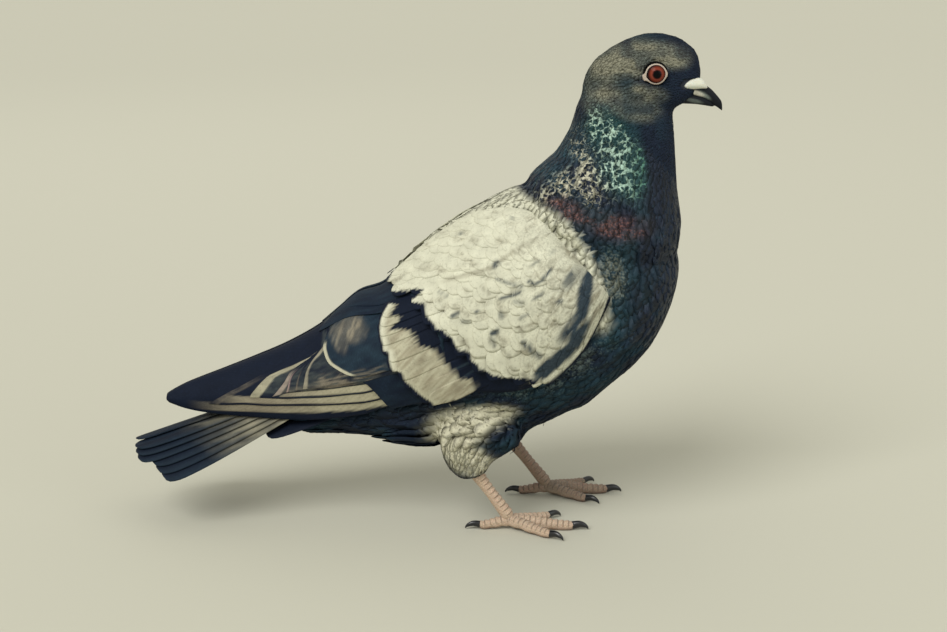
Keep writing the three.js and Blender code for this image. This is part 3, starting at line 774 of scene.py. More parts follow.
root_place, root_way = along_spine(roots)
lie = np.stack([root_way[:, 0], np.zeros(len(roots)), root_way[:, 1]], 1)
on_thigh = thigh_share(roots)[:, None]
lie = lie * (1 - on_thigh) + np.array([-0.25, 0, -1]) * on_thigh
lie -= root_normals * (lie * root_normals).sum(1)[:, None]
lie /= np.maximum(np.linalg.norm(lie, axis=1), 1e-6)[:, None]
root_length = lengths_at(roots, root_place)
tips = roots + lie * root_length[:, None]
hidden = under_wing(roots, root_normals) & under_wing(tips, root_normals)
keep_root = open_skin & clear & ~hidden
roots, root_normals, lie = roots[keep_root], root_normals[keep_root], lie[keep_root]
root_place, root_length = root_place[keep_root], root_length[keep_root]
print("body feathers:", len(roots), "of", len(keep_root), "roots")

# %% [markdown]
# ## The body feathers
# Body feathers lie over each other like shingles, each tip on the roots behind it. Flat cards with a
# cut-out picture could stand for them, but a closed form has a real edge and casts its own shadow. So each
# feather is five rows of three points: a left edge, the crown over the shaft and a right edge, with a flat
# underside. Its middle line is laid on the skin station by station, so that it bends with the body, and
# the blade rises from its root to the depth of the coat at its tip.

# %% The form of one body feather
ROW_AT = np.array([0, 0.25, 0.5, 0.8, 1.0])  # the rows, as shares of the length
ROW_WIDTH = np.array([0.35, 0.8, 1.0, 0.85, 0.3])
ROW_LIFT = np.array([0.74, 0.87, 0.94, 0.98, 1.0])  # as shares of the coat's depth
CROWN = 0.005  # how far the shaft stands above the edges, as a share of the width
FEATHER_WIDTH = 0.56  # of its length
BAKE_PATCH = 0.003  # each feather's patch on the bake map
ROWS = len(ROW_AT)


def feather_faces():
    """Faces of one feather by its 15 points: blade left and right, underside, and the two ends."""
    faces, top = [], []
    for row in range(ROWS - 1):
        a, b = 3 * row, 3 * row + 3
        faces += [[a, a + 1, b + 1, b], [a + 1, a + 2, b + 2, b + 1], [a, b, b + 2, a + 2]]
        top += [True, True, False]
    faces += [[0, 2, 1, 1], [3 * ROWS - 3, 3 * ROWS - 2, 3 * ROWS - 1, 3 * ROWS - 1]]
    return np.array(faces), np.array(top + [False, False])


def depth_at(points, place):
    """The depth of the coat: thin on thighs and shoulders, loose behind thighs, flat between the wings."""
    x, y, z = points.T
    loose = 1 + 0.8 * blob(x, z, (-51, 43), (17, 8), 14)
    flat = 1 - 0.75 * fade(x, -40, -56) * fade(z, 92, 104)
    shoulder = 1 - 0.55 * mantle_share(points) * fade(np.abs(y), 10, 22)
    return coat_depth(place) * loose * flat * shoulder * (1 - THIGH_THIN * thigh_share(points))


def coat(name, chosen, material, slot):
    """A piece of the coat from the chosen roots."""
    start, normal, way = roots[chosen], root_normals[chosen], lie[chosen]
    length = root_length[chosen] * rng.uniform(0.85, 1.18, len(start))
    depth = depth_at(start, root_place[chosen]) * rng.uniform(0.99, 1.02, len(start))
    turn = np.radians(rng.normal(0, 8, len(start)))[:, None]
    way = way * np.cos(turn) + np.cross(normal, way) * np.sin(turn)
    centre = start[:, None] + way[:, None] * (ROW_AT * length[:, None])[..., None]
    flat = centre.reshape(-1, 3)
    laid, up = on_skin(flat)
    laid, up = laid.reshape(centre.shape), up.reshape(centre.shape)
    ahead = np.gradient(laid, axis=1)
    ahead /= np.maximum(np.linalg.norm(ahead, axis=2), 1e-6)[..., None]
    side = np.cross(ahead, up)
    side /= np.maximum(np.linalg.norm(side, axis=2), 1e-6)[..., None]
    lift = (ROW_LIFT * depth[:, None])[..., None]
    width = FEATHER_WIDTH * length * (1 - 0.42 * thigh_share(start))
    half = (ROW_WIDTH * width[:, None] / 2)[..., None]
    crown = half * 2 * CROWN + 0.01
    middle = laid + up * (lift + crown)
    edge = laid + up * (lift - crown)
    points = np.stack([edge - side * half, middle, edge + side * half], 2)
    faces, top = feather_faces()
    per = ROWS * 3
    number = np.arange(len(start))[:, None, None] * per
    quads = (faces[None] + number).reshape(-1, 4)
    tints, flecks, density, net = feather_tints(points.reshape(-1, 3), len(start))
    vane = np.stack(np.meshgrid([0, 0.5, 1], ROW_AT), 2).reshape(-1, 2)
    vane = np.tile(vane, (len(start), 1))
    patch = (vane - [0.5, 0.5]) * BAKE_PATCH
    bake = np.repeat(bake_place(start, root_place[chosen]), per, 0) + patch
    tints = np.c_[tints, density]
    smooth = np.tile(top, len(start))
    piece = mesh_from(name, points.reshape(-1, 3), quads, tints, vane, bake, smooth, flecks, net)
    piece.data.materials.append(material)
    return on_bird(piece, slot)


def feather_tints(points, count):
    """Colour, flecks and net of each point, with a small difference between feathers and a paler tip."""
    own = np.repeat(rng.uniform(-1, 1, count), ROWS * 3)
    pale = np.maximum(mantle_share(points), thigh_pale(points))
    tip = np.tile(np.repeat(fade(ROW_AT, 0.8, 1.0), 3), count)
    shade = 1 + own * (0.1 - 0.07 * pale) + 0.06 * tip * (1 - pale)
    colour, density, net = flecks_at(points)
    colour = colour * (1 + 0.1 * own)[:, None]
    return ground(points) * shade[:, None], colour, density * (1 + 0.2 * own), net


print("one body feather:", len(feather_faces()[0]), "faces")

# %% The coat, in pieces
LIMIT = 7000  # feathers in one piece
HEAD_END, NECK_END = 57, 138  # along the middle line
thigh_roots = thigh_share(roots) > 0.5
head_roots = (root_place < HEAD_END) & ~thigh_roots
neck_roots = (root_place >= HEAD_END) & (root_place < NECK_END) & ~thigh_roots
body_roots = (root_place >= NECK_END) & ~thigh_roots
for name, chosen, material, slot in (
    ("head_feathers", head_roots, plumage, "dark_plumage"),
    ("neck_feathers", neck_roots, neck_gloss, "neck_plumage"),
    ("body_feathers", body_roots, plumage, "dark_plumage"),
    ("thigh_feathers", thigh_roots, plumage, "thigh_plumage"),
):
    numbers = np.flatnonzero(chosen)
    parts = np.array_split(numbers, max(1, -(-len(numbers) // LIMIT)))
    for index, part in enumerate(parts):
        coat(f"{name}_{index + 1}", part, material, slot)

# %% [markdown]
# ## The folded wing as a sheet
# A folded wing wraps the side of the body like a sheet. The solids' wing is drawn by a few curves: its top
# and bottom edge and its breadth at each place along the bird, and the angle where it ends over the back.
# The same curves are used here, so every feather lands where the solid's feathers are. Feathers could be
# placed in space one by one. It is easier to lay them out on the sheet as if it were unrolled flat: x
# along the bird, and `up`, the distance up from the lower edge.

# %% The wing's surface
WING_FRONT = 32.0  # the bend of the wing
WING_LENGTH = 211.0
WING_TIP = WING_FRONT - WING_LENGTH
LOW_EDGE = math.radians(124)  # where the sheet starts below, as an angle round the body from the top
WIDEST = 0.42  # the height where the sheet is widest, as a share of its own
wing_top = through(
    (WING_TIP, 60.5), (-174, 63.5), (-168, 66.5), (-150, 73.5), (-135, 79.5), (-120, 86),
    (-105, 94.5), (-95, 102.5), (-85, 111.5), (-73, 118), (-47, 141), (-27, 153),
    (0, 158), (12, 150.5), (17, 146), (24, 138.5), (29.5, 130), (33, 122),
)
wing_low = through(
    (WING_TIP, 57), (-170, 54), (-160, 52.4), (-140, 51.3), (-110, 51), (-84, 55), (-70, 60),
    (-50, 65), (-30, 68.6), (-12, 70), (0, 74), (10, 81.3), (19.5, 91), (26, 101), (33, 112),
)
wing_breadth = through(
    (WING_TIP, 4.5), (-165, 9.2), (-150, 14.5), (-130, 20.5), (-100, 29.5), (-75, 38),
    (-50, 45), (-25, 49.5), (0, 50), (18, 47.5), (27, 43.5), (33, 38),
)
top_edge = through(
    (WING_TIP, math.radians(3)), (-150, math.radians(2)), (-70, math.radians(3)), (-40, math.radians(7)),
    (-20, math.radians(14)), (0, math.radians(28)), (18, math.radians(50)), (33, math.radians(75)),
)


def wing_surface(x, angle, lift=0.0):
    """The wing's surface at x and an angle round the body from the top, raised by lift."""
    high, low = wing_top(x), wing_low(x)
    middle = low + (high - low) * WIDEST
    reach = np.where(angle < math.pi / 2, high - middle, (middle - low) / -math.cos(LOW_EDGE))
    y = -(wing_breadth(x) + lift) * np.sin(angle)
    return np.stack([x + 0 * angle, y, middle + (reach + lift) * np.cos(angle)], -1)


girth_x = np.linspace(WING_TIP, WING_FRONT + 1, 240)
girth_angle = LOW_EDGE + (top_edge(girth_x)[:, None] - LOW_EDGE) * np.linspace(0, 1, 25)
girth_line = wing_surface(girth_x[:, None] + 0 * girth_angle, girth_angle)
girth_value = np.linalg.norm(np.diff(girth_line, axis=1), axis=2).sum(1)


def girth(x):
    """The wing's length round the body at x."""
    return np.interp(x, girth_x, girth_value)


def on_wing(x, up, lift):
    """A point of the unrolled wing, put back on the bird."""
    share = np.clip(up / girth(x), 0, 1)
    return wing_surface(x, LOW_EDGE + (top_edge(x) - LOW_EDGE) * share, lift)


print("wing girth at 0, -60, -120 mm:", np.round(girth([0, -60, -120]), 1))

# %% [markdown]
# ## One long feather
# A long feather is a thin curved blade: narrow at the root, broadest past the middle, round at the tip, a
# little crowned across, and raised along its shaft. One could be a plane bent by modifiers, but hundreds
# are needed, so `blades` makes many of them at once on the wing. Each one sinks across its width, so that
# its upper edge slides under the next feather up the row while its lower edge stands free, and each row
# reads as a tier.

# %% The faces of a blade
blade_outline = through((0, 0.4), (0.3, 0.8), (0.6, 1), (0.82, 0.94), (0.92, 0.76), (0.97, 0.5), (1, 0.12))
blunt_outline = through((0, 0.6), (0.5, 0.9), (0.8, 1), (0.93, 0.92), (0.98, 0.68), (1, 0.25))
BLADE_THICK = 0.22
UNDERSIDE = 0.8  # how dark a blade is on its inner side


def blade_faces(along, across):
    """Faces of one closed blade: its outer sheet, inner sheet and rim."""
    row = across + 1
    inner = (along + 1) * row
    faces, top = [], []
    for i in range(along):
        for j in range(across):
            a = i * row + j
            faces.append([a, a + row, a + row + 1, a + 1])
            top.append(True)
            faces.append([inner + a, inner + a + 1, inner + a + row + 1, inner + a + row])
            top.append(False)
        b = i * row + across
        faces.append([i * row + row, i * row, inner + i * row, inner + i * row + row])
        faces.append([b, b + row, inner + b + row, inner + b])
        top += [False, False]
    for j in range(across):
        c = along * row + j
        faces.append([j, j + 1, inner + j + 1, inner + j])
        faces.append([c + 1, c, inner + c, inner + c + 1])
        top += [False, False]
    return np.array(faces)[:, ::-1], np.array(top)


print("one blade of 12 by 6:", len(blade_faces(12, 6)[0]), "faces")

# %% Blades laid on the unrolled wing


def sheet_pair(x, up, height, tint, vane):
    """Outer and inner face of blades, as points, tints and vane coordinates; one row for each blade."""
    count = len(x)
    outer = on_wing(x, up, height + BLADE_THICK / 2).reshape(count, -1, 3)
    inner = on_wing(x, up, height - BLADE_THICK / 2).reshape(count, -1, 3)
    if tint.shape[-1] == 3:
        tint = np.concatenate([tint, 0 * tint[..., :1] + THIN_FLECKS], -1)
    tint = tint.reshape(count, -1, 4)
    tint = np.concatenate([tint, tint * UNDERSIDE], 1)
    vane = vane.reshape(count, -1, 2)
    return np.concatenate([outer, inner], 1), tint, np.concatenate([vane, vane], 1)


def blades(root, tip, width, lift, slope, colour, along=12, across=6, outline=blade_outline, crown=0.12):
    """Points, tints and vane coordinates of blades. lift(u, x) is a shaft's height, slope how fast the blade
    sinks upwards across it, and colour(u, v, x, up, n) the tint."""
    count = len(root)
    width = np.broadcast_to(width, (count,))[:, None, None]
    u = (1 - (1 - np.linspace(0, 1, along + 1)) ** 1.7)[None, :, None]
    v = np.linspace(-0.5, 0.5, across + 1)[None, None, :]
    axis = (tip - root)[:, None, None]
    across_way = np.stack([axis[..., 1], -axis[..., 0]], -1)
    across_way = across_way / np.linalg.norm(across_way, axis=-1, keepdims=True)
    shaft = root[:, None, None] + axis * u[..., None]
    room = girth(shaft[..., 0]) - shaft[..., 1]
    aside = np.clip(v * width * outline(u), -shaft[..., 1], room)
    place = shaft + across_way * aside[..., None]
    x, up = place[..., 0], place[..., 1]
    u, v = u + 0 * aside, v + 0 * aside
    height = lift(u, x) - slope * aside + crown * (1 - (2 * v) ** 2) * outline(u)
    number = np.arange(count)[:, None, None] + 0 * aside
    tint = colour(u, 2 * v, x, up, number)
    return *sheet_pair(x, up, height, tint, np.stack([v + 0.5, u], -1)), (along, across)


def gather(sets, mirrored=False):
    """Blade sets as one list of points, faces, tints, vane and bake coordinates."""
    points, quads, tints, vanes, tops = [], [], [], [], []
    base = 0
    for point, tint, vane, (along, across) in sets:
        faces, top = blade_faces(along, across)
        count, per = point.shape[:2]
        number = base + np.arange(count)[:, None, None] * per
        quads.append((faces[None] + number).reshape(-1, 4))
        tops.append(np.tile(top, count))
        points.append(point.reshape(-1, 3))
        tints.append(tint.reshape(-1, tint.shape[-1]))
        vanes.append(vane)
        base += count * per
    total = sum(len(v) for v in vanes)
    columns = math.ceil(math.sqrt(total))
    bakes, cell = [], 0
    for vane in vanes:
        number = cell + np.arange(len(vane))
        corner = np.stack([number % columns, number // columns], 1) / columns
        bakes.append((corner[:, None] + (vane * 0.9 + 0.05) / columns).reshape(-1, 2))
        cell += len(vane)
    points, quads = np.concatenate(points), np.concatenate(quads)
    if mirrored:
        points, quads = points * [1, -1, 1], quads[:, ::-1]
    vanes = [vane.reshape(-1, 2) for vane in vanes]
    return points, quads, *(np.concatenate(rows) for rows in (tints, vanes, bakes, tops))


def jitter(count, spread):
    """Small seeded differences between like feathers."""
    return rng.normal(0, spread, count)


def lift_ramp(low, high):
    """A shaft that rises from low at its root to high at its tip."""
    return lambda u, x: low + (high - low) * u


# %% [markdown]
# ## Wing colours
# The wing shield is cream, mottled and finely marked. Two slate bars cross it: the first is the dark base
# of the greater coverts, seen below the scalloped tips of the median coverts; the second is the
# secondaries, seen below the pale tips of the greater coverts. The bars could come from the feathers' own
# colours alone, but feathers jitter, so their borders are curves on the unrolled wing that every feather
# reads.

# %% Where the bars and bands run on the unrolled wing
shield_end = through(
    (5, 0), (9.3, -6), (11, -13), (12.5, -20.6), (14.5, -24), (15.5, -27.2), (18, -29), (20, -31.5),
    (23.3, -32.5), (24.5, -36.8), (27.5, -39.1), (30, -40.3), (33, -43.4), (35, -44.6), (35.6, -47),
    (38, -48.2), (41, -50.1), (43.5, -51.8), (47, -52.5), (50, -53), (51.6, -56), (53, -59.8),
    (55.2, -56.5), (57.2, -53.4), (58.4, -54.6), (60, -59.5), (62.5, -66.8), (65, -71), (67.7, -74.3),
    (70, -72), (75, -70.5), (82, -69), (95, -66),
)
bar_start = through(
    (0, -42), (1.5, -35), (3, -31), (4.5, -29.3), (7, -29.9), (9.5, -31.5), (10.6, -35.8), (13, -38.7),
    (15.3, -40.1), (17, -42), (20, -44.4), (23, -46.3), (26.3, -49.5), (27.2, -53), (30, -55.8),
    (33, -56.8), (37, -59.1), (39, -60.3), (40.3, -63.4), (41.4, -68.5), (43.4, -67.7), (45, -65.3),
    (46.8, -64.6), (48, -66), (50, -69.1), (52, -67.5), (55.5, -66.8), (57, -71),
)
band_end = through(
    (0, -49), (2, -49.9), (5, -53), (7, -54.9), (10, -57.5), (12, -59.1), (15, -62), (19.3, -63.9),
    (20.4, -67.3), (25, -69.1), (30.4, -69.8), (31.6, -71.8), (35, -72.2), (40, -73.4), (45, -73.7),
    (50, -73), (56, -70.3), (60, -68),
)
scapular_edge = through(
    (-75, 66), (-53, 60.5), (-40, 59.6), (-24, 62), (-17, 66.8), (-9, 72), (0, 75), (12, 78),
)
BROWN = ink("#7d7566")
PALE_EDGE = ink("#aca78f")
BAR = ink("#101828")
SLATE_SHADE = ink("#20303d")


def strokes_at(x, up, strokes, soft=0.9):
    """How strongly short painted strokes, each (x, up, x, up, half width, strength), mark a place."""
    marked = 0 * x
    for x0, up0, x1, up1, half, strength in strokes:
        along = (x - x0) * (x1 - x0) + (up - up0) * (up1 - up0)
        share = np.clip(along / ((x1 - x0) ** 2 + (up1 - up0) ** 2 + 1e-6), 0, 1)
        away = np.hypot(x - x0 - share * (x1 - x0), up - up0 - share * (up1 - up0))
        marked = np.maximum(marked, strength * fade(away, half + soft, half * 0.5))
    return marked


print("shield ends at up 20, 40:", np.round(shield_end([20, 40]), 1))

# %% Marks and hairs of the shield
MARKS = (
    (-20.8, 63.4, -20, 65, 1.1, 0.9), (-36.6, 85.6, -35.9, 87.3, 0.5, 0.6),
    (-12.9, 91, -12.5, 92, 0.4, 0.5), (-40.3, 40.7, -37.8, 41.6, 0.7, 0.85),
    (-28.9, 40.9, -28.6, 41.5, 0.5, 0.9), (-35.4, 37.4, -32.6, 36.5, 0.7, 0.5),
    (-18.4, 40, -18.1, 37.6, 0.6, 0.7), (-9.4, 36.2, -6.4, 37.2, 0.6, 0.55),
    (8.2, 37.2, 8.9, 36.2, 0.7, 0.9), (-22.2, 30.3, -19.6, 31.3, 0.8, 0.95),
    (-22.3, 28.2, -21.3, 26, 0.9, 0.5), (-5.4, 53.4, -4, 51.8, 0.4, 0.9),
    (-2.6, 51, 1.4, 51.8, 0.5, 0.8), (1, 51.9, 4, 55.2, 0.6, 0.9), (-18.3, 46.8, -9.4, 48.8, 0.5, 0.85),
    (-20.1, 56.6, -8.8, 51.3, 0.4, 0.6), (-4.4, 61, -1.6, 62, 0.4, 0.5), (-11.5, 44.6, -8.6, 43.4, 1, 0.4),
    (-3, 44.2, 0.4, 44.8, 0.6, 0.7), (11.5, 45, 13.6, 47, 1.2, 0.45), (-46.3, 54.3, -42.7, 51.3, 0.3, 0.45),
    (-8.2, 25.7, -4.5, 21.6, 0.5, 0.9), (-4.5, 21.6, 0, 16.8, 0.7, 0.75), (5, 64.2, 5.6, 65, 1.2, 0.3),
)
HAIR_DRAWS = 110  # tried on the shield; fewer are kept towards the back
hair_start = np.stack([rng.uniform(-42, 24, HAIR_DRAWS), rng.uniform(12, 74, HAIR_DRAWS)], 1)
hair_start = hair_start[rng.random(HAIR_DRAWS) < 0.25 + 0.75 * fade(hair_start[:, 0], -30, 5)]
HAIRS = [
    (x0, up0, x0 + 3.2 * size, up0 - 3.6 * size, 0.25, 0.25 + 0.3 * size)
    for (x0, up0), size in zip(hair_start, rng.uniform(0.3, 1.1, len(hair_start)))
]


print("marks:", len(MARKS), "hairs:", len(HAIRS))

# %% The shield: cream, with its marks


def front_shade(x, up):
    """The slate area inside the pale rim at the bend of the wing."""
    band = 2.4 * blob(x, up, (5.5, 10), (9, 4.8), 8) + 1.0 * blob(x, up, (16, 11), (8, 6), 30)
    band = band + 1.3 * blob(x, up, (20, 31), (4.4, 13), -4) + 0.6 * blob(x, up, (15, 20), (9, 6), 0)
    band = band + 0.45 * blob(x, up, (14, 44), (6, 6))
    return np.clip(band, 0, 1.6)


rim_line = through((-14, 2.6), (-6.5, 6.4), (0, 4.2), (20, 4.4), (27, 7), (31, 14))


def shield_colour(u, v, x, up, n):
    """Cream, with a faint darker edge, small dark marks, and the slate area at the front."""
    mark = rng.random(int(n.max()) + 1)[n.astype(int)]
    edge = fade(np.abs(v), 0.5, 1) * fade(u, 0.3, 0.7)
    mottle = fade(cloud(x + 0.6 * up, up, 5.5), 0.55, 0.9) * fade(cloud(x, up, 2.4), 0.3, 0.8)
    forward = fade(x, -22, 6)
    worn = 0.04 + 0.1 * edge * mark + 0.1 * mark**2 + mottle * (0.45 + 0.4 * forward)
    base = mix(SHIELD, SHIELD_SHADE, worn)
    strand = fade(cloud((x + up) * 0.35, (up - x) * 1.2, 2.0), 0.5, 0.85)
    base = mix(base, SHIELD_SHADE, 0.6 * strand * fade(x, -12, 8) * fade(up, 66, 50))
    line = np.abs(up - scapular_edge(x))
    base = mix(base, SHIELD_SHADE * 0.8, 0.55 * fade(line, 1.8, 0.5) * fade(x, -50, -38))
    base = mix(base, SHIELD_SHADE * 0.7, strokes_at(x, up, HAIRS))
    base = mix(base, SLATE_SHADE, strokes_at(x, up, MARKS))
    shade = front_shade(x, up) * (0.35 + 0.9 * cloud((x + up) * 0.5, (up - x), 2.2) + 0.25 * mark)
    base = mix(base, SLATE_SHADE, np.clip(shade * 1.5, 0, 0.97))
    rim = fade(np.abs(up - rim_line(x)), 1.9, 0.9) * fade(x, -15, -9)
    base = mix(base, SHIELD, 0.8 * rim * (0.6 + 0.4 * mark))
    outside = fade(x - shield_end(up), 0.5, -0.5) * (up > 5)
    outside = np.maximum(outside, fade(rim_line(x) - up, 1.4, 2.6) * fade(x, -16, -8))
    outside = np.maximum(outside, fade(x, -5, -9) * fade(up, 8, 5))
    thick = 0.27 + 0.4 * mottle + 0.22 * forward
    return np.concatenate([mix(base, BAR, outside), thick[..., None]], -1)


# %% The greater coverts: a dark base and a pale end
BAR_LINES = (
    (-40, 15.3, -30.5, 17.9, 0.3, 0.5), (-34.5, 11.6, -28.5, 14.4, 0.3, 0.35),
    (-42, 24, -42.5, 20, 0.2, 0.25),
)
COVERT_PALE = ink("#c4c2aa")
COVERT_WORN = ink("#8d8470")
BAR_LIGHT = ink("#3a4a55")


def covert_bar_colour(u, v, x, up, n):
    """Greater coverts: dark base, then a pale grey-buff end with fine darker streaks along it."""
    ragged = 0.7 * np.sin(15 * v + 3 * n) * fade(up, 14, 20)
    pale = fade(x - bar_start(up) + ragged, 0.6, -0.6) * fade(x - band_end(up), -0.5, 0.5)
    streaks = cloud((x - 1.4 * up) * 1.1, (x + up) * 0.25, 1.6)
    end = mix(COVERT_PALE, COVERT_WORN, 0.15 + 0.75 * streaks * fade(x - band_end(up), 0.5, 4))
    end = mix(end, SHIELD, 0.75 * fade(x - band_end(up), 4, 0.5) * fade(up, 17, 24))
    base = mix(BAR, BAR_LIGHT, strokes_at(x, up, BAR_LINES, 0.5))
    return mix(base, end, pale)


# %% [markdown]
# ## The folded flight feathers
# Folded, the primaries lie like a closed fan seen from its edge. Whole feathers could be fanned shut, but
# most of each would be hidden and cut its neighbours. So each is a broad sheet whose lower edge runs almost
# parallel to the wing's own, a few millimetres above its neighbour's, and whose blunt end sits further
# forward. `nested` lays one such sheet from its root under the coverts to its end. The secondaries and the
# innermost tertials are made alike.

# %% Nested sheets
FLIGHT_ROOT = -44.0
flight_base = through((WING_TIP, -0.4), (-165, -1.2), (-130, -2.6), (-90, -3.9), (-60, -5.0))


def nested(number, low, outline, colour, along=60, across=34):
    """One folded flight feather: low gives its lower edge at x, outline where it ends at each height."""
    s, h = np.meshgrid(np.linspace(0, 1, along + 1), np.linspace(0, 1, across + 1) ** 1.6, indexing="ij")
    end = outline(0 * h + 15)
    for _ in range(12):
        bottom = low(end)
        end = 0.5 * end + 0.5 * outline(bottom + (girth(end) - bottom) * h)
    x = FLIGHT_ROOT + (end - FLIGHT_ROOT) * (1 - (1 - s) ** 1.8)
    bottom = low(x)
    up = bottom + np.maximum(girth(x) - bottom, 0.4) * h
    lean = (outline(up + 0.5) - outline(up - 0.5)) / np.hypot(1, outline(up + 0.5) - outline(up - 0.5))
    back = (x - outline(up)) * np.sqrt(1 - lean**2)
    upper = fade(up / girth(x), 0.45, 0.95) * fade(x, -72, -94)
    sunk = flight_base(x) - 0.03 * np.minimum(up - bottom, 30)
    height = sunk * (1 - upper) + 0.3 * number * (1 - 0.7 * upper)
    height = height - 0.15 * fade(np.minimum(up - bottom, back), 0.9, 0)
    tint = colour(number, x, up, up - bottom, back)
    vane = np.stack([h, s], -1)
    return *sheet_pair(x[None], up[None], height[None], tint[None], vane[None]), (along, across)


def level(value):
    """A lower edge at one height all along."""
    return lambda x: value + 0 * x


print("sheets sink under the coverts, mm:", flight_base([-90, -60]).round(1))

# %% [markdown]
# ## Stripes and hooks
# Each primary shows only the strip of its outer web that the next one leaves free. That strip is pale with
# a dark line inside it, so the folded primaries nest into fine stripes that hook up at each feather's end,
# under one dark band along the top of the wing. The stripes could be modelled as ridges, but on the real
# bird they are colour, and so they are here.

# %% Where the stripes and hooks run
edge_line = through(
    (-179, 3), (-166, 1.6), (-150, 2.6), (-140, 3.4), (-130, 4.1), (-120, 4.3), (-110, 4.6), (-100, 4.6),
    (-90, 3.7), (-80, 2.9), (-75, 2.0), (-70, 0.8),
)
second_line = through(
    (-166, 4.6), (-150, 6.0), (-140, 7.2), (-130, 7.6), (-120, 8.4), (-110, 8.7), (-100, 8.3), (-90, 7.6),
    (-80, 6.6), (-74, 5.9),
)
third_line = through(
    (-140, 11), (-130, 11.6), (-120, 12.1), (-110, 12.7), (-100, 12.6), (-90, 12.5), (-80, 11.9),
)
fourth_line = through(
    (-127, 12), (-125.6, 12.8), (-120, 14.9), (-115, 15.7), (-110, 16.1), (-90, 16.6), (-80, 16.5),
)
# For each primary: the hook's width, then its end as (up, x).
HOOKS = (
    (0, (0, -177.6), (1.5, -178.7), (3, -179)),
    (2.6, (5, -158), (9, -153), (11, -150.6), (14, -147), (18, -141.6), (24, -134), (34, -120), (50, -100)),
    (4.4, (11, -136.9), (13, -136.4), (17, -134), (21.5, -131), (26, -127), (30, -120), (33.5, -113),
     (36.5, -107), (42, -101), (50, -95)),
    (2.4, (12.6, -125.9), (16.3, -123.4), (22, -119.9), (27.7, -117.2), (32, -112.8), (35, -108.6),
     (40, -103)),
    (0.8, (16, -118.9), (19, -118.2), (23.4, -117.4), (27, -115.8), (31, -112), (36, -106.5), (42, -100)),
    (0.9, (17, -114.5), (22, -113.8), (27, -112.4), (32, -109.4), (37, -104.8), (43, -99.5)),
    (2.2, (18, -110.8), (22, -110.2), (27.7, -109.2), (33.4, -106.7), (37, -104.2), (42, -100.8), (50, -96)),
)
hook_width = through((12, 1.0), (20, 0.9), (27, 0.55), (33, 0.42), (37, 0.7), (40, 0.6), (44, 0.2))
HOOK_TINT = (BROWN, BROWN, PALE_EDGE, ink("#a3968a"), ink("#a58f8a"), BROWN, ink("#9d9784"))
MURK = ink("#4b5250")
LOBE_PATCH = ink("#8b8474")
print("primaries:", len(HOOKS))

# %% Colours of the flight feathers


def strip_colour(x, up, fades):
    """A free outer web: buff towards the coverts, browner outwards, then lost in the dark tip."""
    streak = cloud(x * 0.16, up * 1.0, 0.7)
    base = mix(PALE_EDGE, BROWN, np.clip(0.08 + 0.75 * fade(x, -84, -132) + 0.35 * (streak - 0.5), 0, 1))
    return mix(base, BAR, fade(x, *fades))


def primary_colour(k, x, up, below, back):
    """Slate, a free strip of pale web above a dark edge, and the pale hook at the feather's end."""
    murk = cloud(x * 0.35, up, 1.1)
    base = mix(BAR, MURK, 0.65 * murk * (k > 1) * fade(up - 12, 0, 2) * fade(back, 0.3, 1.5))
    if k == 0:
        strip = fade(below - edge_line(x), -0.35, 0.35) * fade(up - second_line(x), 1.2, 0.4)
        base = mix(base, strip_colour(x, up, (-140, -170)), strip)
    if k == 1:
        strip = fade(below, 0.9, 1.35) * fade(up - third_line(x), 1.0, 0.3)
        base = mix(base, strip_colour(x, up, (-138, -156)), strip)
    if k == 2:
        top = fourth_line(x) + 0.3 - 3 * fade(x, -118, -126)
        strip = fade(below, 0.9, 1.3) * fade(up - top, 0.5, -0.3) * fade(x, -127, -122)
        base = mix(base, strip_colour(x, up, (-118, -160)), strip)
    width = HOOKS[k][0] * (hook_width(up) if k > 1 else 1)
    hook = fade(back, width + 0.4, width - 0.4) * fade(back, -0.2, 0.25) * (k > 0)
    hook = hook * (fade(up, 27, 17) * 0.55 * cloud(x, up, 1.5) if k == 1 else 1)
    hook = hook * (fade(up, 31, 23) if k > 2 and k < 6 else 1) * (0.6 + 0.4 * murk) * fade(up, 46, 40)
    base = mix(base, HOOK_TINT[k], np.clip(hook, 0, 1) * (0.55 if k == 5 else 0.95))
    if k > 3:
        fine = fade(cloud((x + 0.6 * up) * 0.2, up * 1.3, 0.8), 0.3, 0.8)
        inner = fade(x, -108, -101) * fade(up, 27, 22) * fade(x, -72, -82)
        base = mix(base, BROWN, 0.75 * fine * inner)
    if k > 2:
        seam = fade(below, 0, 0.3) * fade(below, 3.4, 0.8) * fade(x, -90, -100)
        base = mix(base, BROWN, 0.45 * seam * murk)
    return base


def dark_colour(k, x, up, below, back):
    """Slate, a little lighter along fine lines."""
    return mix(BAR, SLATE_SHADE, 0.7 * cloud(x * 0.2, up, 1.6))


def lobe_colour(k, x, up, below, back):
    """The innermost long feather: slate, a bright rim, and a grey-brown patch."""
    base = mix(BAR, SLATE_SHADE, 0.3 + 0.9 * cloud(x * 0.5, up, 2))
    streaks = fade(cloud((x - 0.25 * up) * 1.1, (up + 0.25 * x) * 0.22, 1.3), 0.2, 0.8)
    patch = 1.1 * blob(x, up, (-87, 48), (7, 10), 24) + 0.7 * blob(x, up, (-94, 44), (4, 11), 20)
    base = mix(base, LOBE_PATCH, 0.9 * np.clip(patch * (0.35 + 0.8 * streaks), 0, 1))
    inner = fade(x, -93, -86) * fade(up, 26, 22) * fade(x, -68, -76)
    fine = fade(cloud((x + 0.6 * up) * 0.2, up * 1.3, 0.8), 0.35, 0.8)
    base = mix(base, BROWN, 0.6 * fine * inner)
    bright = fade(back, 1.75, 1.1) * fade(up, 44, 41) * fade(x, -84.5, -88)
    return mix(base, mix(PALE_EDGE, SHIELD, 0.35), 0.97 * bright)


